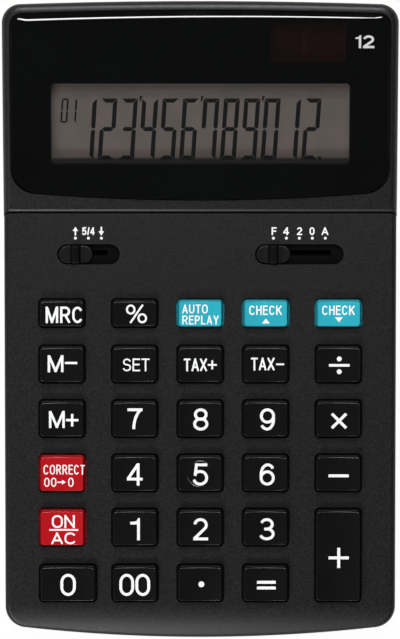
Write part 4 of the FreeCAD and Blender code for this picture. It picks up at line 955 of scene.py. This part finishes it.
def ribbon():
    """Rings of four corners along the route, each across the mean direction of its neighbours."""
    route = []
    for start, end in zip(RIBBON_ROUTE, RIBBON_ROUTE[1:]):
        count = max(1, round(math.dist(start, end) / RIBBON_STEP))
        route += [np.array(start) + (np.array(end) - start) * i / count for i in range(count)]
    route = np.array(route + [RIBBON_ROUTE[-1]])
    along = np.gradient(route, axis=0)
    along /= np.linalg.norm(along, axis=1, keepdims=True)
    out = np.stack([-along[:, 1], along[:, 0]], axis=1) * RIBBON_THICK / 2
    half = RIBBON_WIDTH / 2
    rings = []
    for low, high in zip(route - out, route + out):
        rings.append(np.array([(-half, *low), (half, *low), (half, *high), (-half, *high)]))
    points, faces = through_rings(rings)
    last = len(points) - 4
    return points, [face[::-1] for face in faces] + [[0, 1, 2, 3], [last + 3, last + 2, last + 1, last]]


band = make_piece("hinge_band", ribbon(), 0.0, None, "ribbon_film", ["hinge_ribbon"])
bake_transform(band)

# %% [markdown]
# ## Switches
#
# A slide switch knob is a flat stadium with a ribbed ridge across its middle. It is a loft along its own
# length: at each station the section is a rounded box, as wide as the stadium there and as high as the
# plate plus the ridge. Below it a stem runs through the slit to a carrier. The labels stand above the
# pocket, one dot for each stop.

# %% Switch knobs
KNOB_LENGTH = 10.2
KNOB_WIDTH = 5.5
KNOB_LOW = -1.4
KNOB_PLATE = 1.1
RIDGE_HEIGHT = 2.0
RIDGE_HALF = 1.45
RIDGE_CREST_HALF = 0.9
RIB_PITCH = 0.45
RIB_HEIGHT = 0.09
BLUNTNESS = 0.28
STATIONS = 170
ROUND_POINTS = 44
# The two thumb hollows beside the ridge: depth, place, and how wide they run.
HOLLOW_DEPTH = 0.14
HOLLOW_X = 3.1
HOLLOW_REACH = 1.0
RIDGE_FOOT = RIDGE_HALF + 0.25
# Stem and carrier: width, depth, corner radius, and top over the solid's lowest point.
STEM = (3.4, 2.2, 0.2, 0.9)
CARRIER = (7.0, 5.0, 0.3, 1.0)


def knob_shape():
    """Plate and ridge about their middle: y = half width * |cos|^n, z = middle + half height * |sin|^n."""
    x = -KNOB_LENGTH / 2 * np.cos(np.linspace(0, math.pi, STATIONS + 2)[1:-1])
    radius = KNOB_WIDTH / 2
    past = np.maximum(np.abs(x) - (KNOB_LENGTH / 2 - radius), 0)
    half_width = np.sqrt(radius ** 2 - past ** 2)
    climb = np.clip((RIDGE_FOOT - np.abs(x)) / (RIDGE_FOOT - RIDGE_CREST_HALF), 0, 1)
    ridge = RIDGE_HEIGHT * climb ** 2 * (3 - 2 * climb)
    ribs = RIB_HEIGHT * np.cos(2 * math.pi * x / RIB_PITCH) * (np.abs(x) < RIDGE_CREST_HALF)
    hollow = HOLLOW_DEPTH * np.exp(-((np.abs(x) - HOLLOW_X) / HOLLOW_REACH) ** 2)
    height = KNOB_PLATE + ridge + ribs - hollow
    turn = np.linspace(0, 2 * math.pi, ROUND_POINTS, endpoint=False)
    wide, tall = (np.sign(part) * np.abs(part) ** BLUNTNESS for part in (np.cos(turn), np.sin(turn)))
    rings = []
    for station, half, full in zip(x, half_width, height):
        level = KNOB_LOW + full / 2 * (1 + tall)
        rings.append(np.stack([np.full(ROUND_POINTS, station), wide * half, level], axis=1))
    mid = KNOB_LOW + KNOB_PLATE / 2
    return through_rings(rings, [-KNOB_LENGTH / 2, 0, mid], [KNOB_LENGTH / 2, 0, mid])


def block(width, depth, radius, z0, z1):
    """A plain block with rounded upright edges."""
    rings = [ring(unit_outline(4, 1, 1), middle_box(width, depth), radius, z) for z in (z1, z0)]
    return through_rings(rings, [0, 0, z1], [0, 0, z0])


for name in ("rounding_switch", "decimal_switch"):
    low, high = leaned_box(name + "_knob", KEYBOARD_SLOPE)
    middle = np.array([*((low + high)[:2] / 2), deck_z])
    foot = low[2] - deck_z
    stem = block(*STEM[:3], foot + STEM[3], KNOB_LOW + KNOB_PLATE / 2)
    carrier = block(*CARRIER[:3], foot, foot + CARRIER[3])
    points, faces = join([knob_shape(), stem, carrier])
    knob = (points + middle, faces)
    make_piece(name + "_slider", knob, KEYBOARD_SLOPE, name, "knob_black", [name + "_knob"])
    print(name, "stands at", middle.round(2))

# %% [markdown]
# A black film lines each pocket's floor round the slit. On the board below, the wipers run on black carbon
# tracks, which keep the slit dark. Each film is a closed band of four rings, and each track a thin plate
# with rounded corners.

# %% Pocket films and carbon tracks
SWITCH_PITCH = 3.95
POCKET_DEPTH = 1.5
POCKET_WIDTH = 6.1
POCKET_LONGER = 1.0
SLIT_END = 1.85
SLIT_WIDTH = 2.5
SLIT_CORNER = 0.2
FILM_LOW, FILM_HIGH = 0.005, 0.05
TRACK_LONGER, TRACK_WIDTH, TRACK_CORNER, TRACK_THICK = 3.0, 6.0, 0.5, 0.02
knob_middles = {}
board_top = leaned_box("main_board", KEYBOARD_SLOPE)[1][2]
floor_z = deck_z - POCKET_DEPTH
band_unit = unit_outline(16, 40, 2)
for name, stops in (("rounding_switch", 3), ("decimal_switch", 5)):
    low, high = leaned_box(name + "_knob", KEYBOARD_SLOPE)
    knob_middles[name] = (low + high) / 2
    travel = (stops - 1) * SWITCH_PITCH
    x, y = knob_middles[name][0] + travel / 2, knob_middles[name][1]
    slit = SLIT_END + travel / 2
    outer = (middle_box(KNOB_LENGTH + travel + POCKET_LONGER, POCKET_WIDTH, x, y), POCKET_WIDTH / 2 - 0.01)
    inner = (middle_box(2 * slit, SLIT_WIDTH, x, y), SLIT_CORNER)
    order = ((inner, FILM_HIGH), (outer, FILM_HIGH), (outer, FILM_LOW), (inner, FILM_LOW))
    film = through_rings([ring(band_unit, *edge, floor_z + up) for edge, up in order], closed=True)
    make_piece(name + "_pocket_film", film, KEYBOARD_SLOPE, "base", "tape_black", look=pocket_film)
    points, faces = block(2 * slit + TRACK_LONGER, TRACK_WIDTH, TRACK_CORNER, 0.0, TRACK_THICK)
    track = (points + [x, y, board_top], faces)
    make_piece(name + "_track", track, KEYBOARD_SLOPE, "base", "resin_black", look=carbon)

# %% Switch labels
DOT_UP = 4.95
DOT_RADIUS = 0.43
LABEL_UP = 7.1
LABEL_HEIGHT = 2.4
ARROW = (2.65, 1.7, 0.48)
# Each stop's letter, its width, and how far it stands beside the dot.
STOPS = (("F", 1.55, 0.2), ("4", 1.75, -0.1), ("2", 1.60, 0.05), ("0", 1.55, -0.1), ("A", 2.05, -0.1))

labels = {
    "rounding_switch": [
        lambda x, y: arrow(*ARROW, x, y, math.pi / 2),
        lambda x, y: word("5/4", 3.85, LABEL_HEIGHT, x, y, 0.40, 0.2),
        lambda x, y: arrow(*ARROW, x, y, -math.pi / 2),
    ],
    "decimal_switch": [
        lambda x, y, text=text, width=width, aside=aside: word(text, width, LABEL_HEIGHT, x + aside, y, 0.42)
        for text, width, aside in STOPS
    ],
}
for name, makers in labels.items():
    parts = []
    for stop, maker in enumerate(makers):
        x, y = knob_middles[name][0] + stop * SWITCH_PITCH, knob_middles[name][1]
        parts += maker(x, y + LABEL_UP) + [dot(DOT_RADIUS, x, y + DOT_UP, 20)]
    shape = lay(parts, lambda x, y: np.full(len(x), deck_z), cut=False)
    make_piece(name + "_labels", shape, KEYBOARD_SLOPE, "base", "ink_white")
print(sum(map(len, labels.values())), "labelled stops")

# %% [markdown]
# ## Lens
#
# The lens is one sheet of acrylic with its underside printed black except over the display and the solar
# cell. It is made as a black body with two openings, which step inwards at the bottom to the edge of the
# print, and a clear plug in each, flush on top. Its rear edge falls in stages: a chamfer, a narrow facet
# that catches the long light behind and shows it as a bright line, and a round up to the flat. The height
# is the sum of the tangent of the tilt over the distance inwards. The other edges fall less. The rear edge
# narrows a little from left to right, and near both ends.

# %% Lens
LENS_BOW = 2.7
LENS_REAR_BOW = 1.1
LENS_FRONT_CORNER = 7.5
LENS_REAR_CORNER = 3.8
LENS_BODY = 2.3
LENS_SIDE_SHARE = 0.4
LENS_FRONT_SHARE = 0.05
LENS_REAR_WIDTHS = (1.03, 0.945, 0.68)
HOOK_SHARE = 0.33
HOOK_START = 5.0
HOOK_LENGTH = 3.2
PRINT_STEP = 0.3
PRINT_DEEP = 0.06
CELL_MARGIN = 1.1
WINDOW_CORNER = 1.0
PLUG_GAP = 0.01
LENS_SHARP = 30.0

# The rear edge from outside inwards: millimetres from the rim, and the tilt there in degrees.
edge_in = np.array([0.0, 0.5, 1.0, 1.42, 1.56, 1.66, 1.75, 1.84, 1.94, 2.00, 2.06, 2.14, 2.60])
edge_tilt = np.radians([33, 33, 33, 33, 28.4, 27.7, 27.15, 26.6, 25.9, 12, 4, 0, 0])
fall = np.tan(edge_tilt)
steps = np.diff(edge_in) * (fall[1:] + fall[:-1]) / 2
edge_drop = np.concatenate([np.cumsum(steps[::-1])[::-1], [0]])
top_z = lens_high[2]
low_z = top_z - LENS_BODY
print("lens edge falls", round(edge_drop[0], 2), "mm")

lens_unit = unit_outline(14, 60, 24)


def lens_ring(inset, drop):
    """The lens's outline moved inwards and down: bowed front and rear, larger radii at the front.

    The sides take a share of the way in and of the drop, and the front a still smaller share of the drop.
    In the rear corners the drop's share is that of the way in, square to the outline, so the tilt stays the
    same there. At the rear, way in and drop shrink together: by a parabola through the widths at the left,
    middle and right, and near the ends by a smooth step, so that the edge's lines hook outwards there.
    """
    side = inset * LENS_SIDE_SHARE
    x0, y0 = lens_low[0] + side, lens_low[1] + LENS_BOW + side
    box = (x0, lens_high[0] - side, y0, lens_high[1] - LENS_REAR_BOW - inset)
    front = ring(lens_unit, box, LENS_FRONT_CORNER - side, top_z, LENS_BOW, LENS_REAR_BOW)
    rear = ring(lens_unit, box, LENS_REAR_CORNER - 2 * side, top_z, LENS_BOW, LENS_REAR_BOW)
    made = np.where(lens_unit[0][:, 1:] > 0, rear, front)
    facing = lens_unit[1][:, 1]
    back = np.clip(facing, 0, 1)
    left, mid, right = LENS_REAR_WIDTHS
    along = made[:, 0] / lens_high[0]
    past = np.clip((np.abs(made[:, 0]) - lens_high[0] + HOOK_START) / HOOK_LENGTH, 0, 1)
    narrow = 1 - mid - (right - left) / 2 * along - ((left + right) / 2 - mid) * along ** 2
    narrow = (narrow + HOOK_SHARE * past ** 2 * (3 - 2 * past)) * back
    made[:, 1] += inset * narrow
    share = 2 * LENS_SIDE_SHARE + (1 - 2 * LENS_SIDE_SHARE) * back - LENS_SIDE_SHARE * np.sqrt(1 - back ** 2)
    share -= (LENS_SIDE_SHARE - LENS_FRONT_SHARE) * np.clip(-3 * facing, 0, 1)
    made[:, 2] -= drop * share * (1 - narrow)
    return made


rings = [lens_ring(inset, drop) for inset, drop in zip(edge_in[::-1], edge_drop[::-1])]
rings.append(rings[-1] * [1, 1, 0] + [0, 0, low_z])
cell = inset_box("solar_cell", HEAD_SLOPE, CELL_MARGIN, CELL_MARGIN)
hole_unit = unit_outline(6, 12, 6)
print("window", np.round(window, 2), "cell", np.round(cell, 2))


def hole_ring(box, out, z):
    """The outline of an opening, moved outwards."""
    return ring(hole_unit, flared(box, out), WINDOW_CORNER + out, z)


points, faces = through_rings(rings)
count = len(points)
around, small = len(rings[0]), len(hole_unit[0])
levels = ((PRINT_STEP, top_z), (PRINT_STEP, low_z + PRINT_DEEP), (0.0, low_z + PRINT_DEEP), (0.0, low_z))
holes = [hole_ring(box, out, z) for out, z in levels for box in (window, cell)]
points = np.concatenate([points] + holes)
# The flat top lies between the first ring and the first two outlines, and the underside between the last ones.
wide = [flared(box, PRINT_STEP) for box in (window, cell)]
last, last_hole = (len(rings) - 1) * around, count + 2 * small * (len(levels) - 1)
for loops, boxes, start, hole, way in (
    ([rings[0], *holes[:2]], wide, 0, count, 1),
    ([rings[-1], *holes[-2:]], [window, cell], last, last_hole, -1),
):
    index = [*range(start, start + around), *range(hole, hole + 2 * small)]
    faces += [[index[i] for i in face[::way]] for face in filled(loops, boxes)]
for place in range(2 * (len(levels) - 1)):
    upper = count + place * small + np.arange(small)
    lower = upper + 2 * small
    faces += np.stack([upper, np.roll(upper, -1), np.roll(lower, -1), lower], axis=1).tolist()
make_piece("lens_body", (points, faces), HEAD_SLOPE, "head", "lens_mask", ["display_lens"], sharp=LENS_SHARP)

pane_low = low_z + PRINT_DEEP + PLUG_GAP
for name, box, look in (("lens_window", window, None), ("lens_cell_window", cell, tinted)):
    plug = [hole_ring(box, PRINT_STEP - PLUG_GAP, z) for z in (top_z, pane_low)]
    middle = [(box[0] + box[1]) / 2, (box[2] + box[3]) / 2]
    shape = through_rings(plug, [*middle, top_z], [*middle, pane_low])
    make_piece(name, shape, HEAD_SLOPE, "head", "lens_clear", look=look, sharp=LENS_SHARP)

# %% The number of digits, printed on the lens
NUMBER_X = 49.6
NUMBER_UP = 0.6
NUMBER_HEIGHT = 3.9
NUMBER_PEN = 0.72
number_y = (cell[2] + cell[3]) / 2 + NUMBER_UP
parts = figure_one(1.75, NUMBER_HEIGHT, NUMBER_PEN, NUMBER_X - 1.95, number_y)
parts += word("2", 3.5, NUMBER_HEIGHT, NUMBER_X + 1.15, number_y, NUMBER_PEN)
shape = lay(parts, lambda x, y: np.full(len(x), top_z), cut=False)
make_piece("lens_number", shape, HEAD_SLOPE, "head", "ink_grey")
print("number printed at", round(NUMBER_X, 1), round(number_y, 1))

# %% [markdown]
# ## Digits on the display
#
# A seven-segment figure is seven bars with mitred ends, a to g, and each figure lights some of them. The
# display leans its figures a few degrees to the right, which is a shear: x grows with y. The lit bars lie
# as thin dark shapes on the polariser.

# %% Display figures
DIGIT_HEIGHT = 18.7
DIGIT_WIDTH = 4.85
DIGIT_PEN = 1.28
DIGIT_PITCH = 6.2
FIRST_DIGIT_X = -34.4
DIGIT_FOOT = 0.9
DIGIT_LEAN = math.tan(math.radians(3.9))
GAP = 0.09
SMALL_HEIGHT, SMALL_WIDTH, SMALL_PEN = 7.4, 2.15, 0.55
SMALL_FIGURES = ((-41.5, "0"), (-38.9, "1"))
TICK_BELOW, TICK_ABOVE = 0.9, 0.8
POINT_SIZE, POINT_X, POINT_Y = 0.95, 3.1, 0.5
LIT = {
    "0": "abcdef", "1": "bc", "2": "abged", "3": "abgcd", "4": "fgbc",
    "5": "afgcd", "6": "afgedc", "7": "fabc", "8": "abcdefg", "9": "abcdfg",
}


def segments(digit, width, height, pen):
    """The lit bars of a figure from the middle of its foot, each a polygon with mitred ends."""
    w, h, m, p, g = width / 2, height, height / 2, pen, GAP
    bars = {
        "a": [(-w + g, h), (w - g, h), (w - p - g, h - p), (-w + p + g, h - p)],
        "d": [(-w + p + g, p), (w - p - g, p), (w - g, 0), (-w + g, 0)],
        "g": [(-w + g + p / 2, m), (-w + p + g, m + p / 2), (w - p - g, m + p / 2),
              (w - g - p / 2, m), (w - p - g, m - p / 2), (-w + p + g, m - p / 2)],
        "f": [(-w, h - g), (-w + p, h - p - g), (-w + p, m + p / 2 + g),
              (-w + p / 2, m + g), (-w, m + g + p / 3)],
        "e": [(-w, g), (-w, m - g - p / 3), (-w + p / 2, m - g), (-w + p, m - p / 2 - g), (-w + p, p + g)],
    }
    bars["b"] = [(-x, y) for x, y in bars["f"]]
    bars["c"] = [(-x, y) for x, y in bars["e"]]
    return [bars[name] for name in LIT[digit]]


def leaned_polygon(polygon, x, y, middle=DIGIT_HEIGHT / 2):
    """A polygon moved to its place and leaned by a shear about a height."""
    return [(x + px + (py - middle) * DIGIT_LEAN, y + py) for px, py in polygon]


shown = []
foot_y = window[2] + DIGIT_FOOT
below, above = DIGIT_HEIGHT - TICK_BELOW, DIGIT_HEIGHT + TICK_ABOVE
for place, digit in enumerate("123456789012"):
    x = FIRST_DIGIT_X + place * DIGIT_PITCH
    bars = segments(digit, DIGIT_WIDTH, DIGIT_HEIGHT, DIGIT_PEN)
    if digit in "369":
        bars.append([(2.95, below), (3.3, below), (3.75, above), (2.95, above)])
    shown += [leaned_polygon(polygon, x, foot_y) for polygon in bars]
shown.append(leaned_polygon(bar(POINT_SIZE, POINT_SIZE, POINT_X, POINT_Y), x, foot_y))
for x, digit in SMALL_FIGURES:
    bars = segments(digit, SMALL_WIDTH, SMALL_HEIGHT, SMALL_PEN)
    shown += [leaned_polygon(polygon, x, foot_y + DIGIT_HEIGHT - SMALL_HEIGHT, 0) for polygon in bars]
print(len(shown), "lit bars")
shape = lay(shown, lambda x, y: np.full(len(x), glass_top), cut=False)
make_piece("display_figures", shape, HEAD_SLOPE, "head", "lcd_ink")

# %% [markdown]
# ## Floor and light
#
# The photograph has plain white behind the calculator. Its soft light comes from the front left, and a low
# lamp in front lights the rolled front edge. Behind stand a panel, which the head's rim shows, and a long
# narrow strip, which draws the bright line along the lens. The floor runs up into a low wall all round.
# What the camera and mirrors see of it is mostly a plain white, and the rest is its own lit surface, which
# keeps the shadow.

# %% Floor
FLOOR_RADIUS = 4.0
WALL_HEIGHT = 1.3
COVE = 0.6
FLAT_RADII = (0.3, 1.0, 2.0)
GLOW_SHARE = 0.95


def bowl():
    """A disc that runs up through a quarter round into a wall: (radius, height) turned about the Z axis."""
    turn = np.linspace(0, math.pi / 2, 9)
    radii = np.concatenate([FLAT_RADII, FLOOR_RADIUS - COVE + COVE * np.sin(turn), [FLOOR_RADIUS]])
    heights = np.concatenate([[0, 0, 0], COVE - COVE * np.cos(turn), [WALL_HEIGHT]])
    return through_rings([circle(0, 0, radius, z, 72) for radius, z in zip(radii, heights)], [0, 0, 0])


def floor_finish():
    """Pale paint, seen by the camera, mirrors and glass as mostly plain white."""
    made = bpy.data.materials.new("pale_floor")
    made.use_nodes = True
    tree = made.node_tree
    paint = tree.nodes["Principled BSDF"]
    feed(tree, paint, {"Base Color": (0.85, 0.85, 0.85, 1), "Roughness": 0.9, "Specular IOR Level": 0.1})
    glow = add(tree, "Emission", {"Strength": 1.0})
    rays = add(tree, "LightPath", {}).outputs
    seen = rays["Is Camera Ray"]
    for name in ("Is Glossy Ray", "Is Transmission Ray"):
        seen = add(tree, "Math", {0: seen, 1: rays[name]}, operation="MAXIMUM").outputs[0]
    share = add(tree, "Math", {0: seen, 1: GLOW_SHARE}, operation="MULTIPLY").outputs[0]
    mix = add(tree, "MixShader", {"Fac": share, 1: paint.outputs[0], 2: glow.outputs[0]})
    feed(tree, tree.nodes["Material Output"], {"Surface": mix.outputs[0]})
    return made


points, faces = bowl()
floor_mesh = bpy.data.meshes.new("floor")
floor_mesh.from_pydata(points.tolist(), [], faces)
floor_mesh.materials.append(floor_finish())
floor = put("floor", floor_mesh)
print("floor of", len(faces), "faces")

# %% Lamps and world
WORLD_LIGHT = 0.05
# Each lamp: its place and aim in metres, its width and height, and its power in watts.
LAMPS = {
    "front_left_lamp": ((-0.66, -0.66, 0.84), (0, 0, 0), 0.36, 0.36, 4.0),
    "rear_strip": ((0.0, 0.66, 0.72), (0, 0.05, 0), 0.56, 0.10, 4.6),
    "rear_panel": ((0.0, 0.45, 0.95), (0, 0.05, 0), 0.30, 0.42, 5.5),
    "front_panel": ((-0.21, -0.81, 0.57), (0, -0.05, 0), 0.30, 0.18, 7.0),
}
for name, (place, aim, width, height, power) in LAMPS.items():
    lamp = bpy.data.lights.new(name, "AREA")
    lamp.shape = "RECTANGLE"
    lamp.size, lamp.size_y = width, height
    lamp.energy = power
    holder = put(name, lamp)
    holder.location = place
    holder.rotation_euler = (Vector(aim) - Vector(place)).to_track_quat("-Z", "Y").to_euler()

world = bpy.data.worlds.new("studio")
world.use_nodes = True
feed(world.node_tree, world.node_tree.nodes["Background"], {"Color": (1, 1, 1, 1), "Strength": WORLD_LIGHT})
bpy.context.scene.world = world
print(len(LAMPS), "lamps")
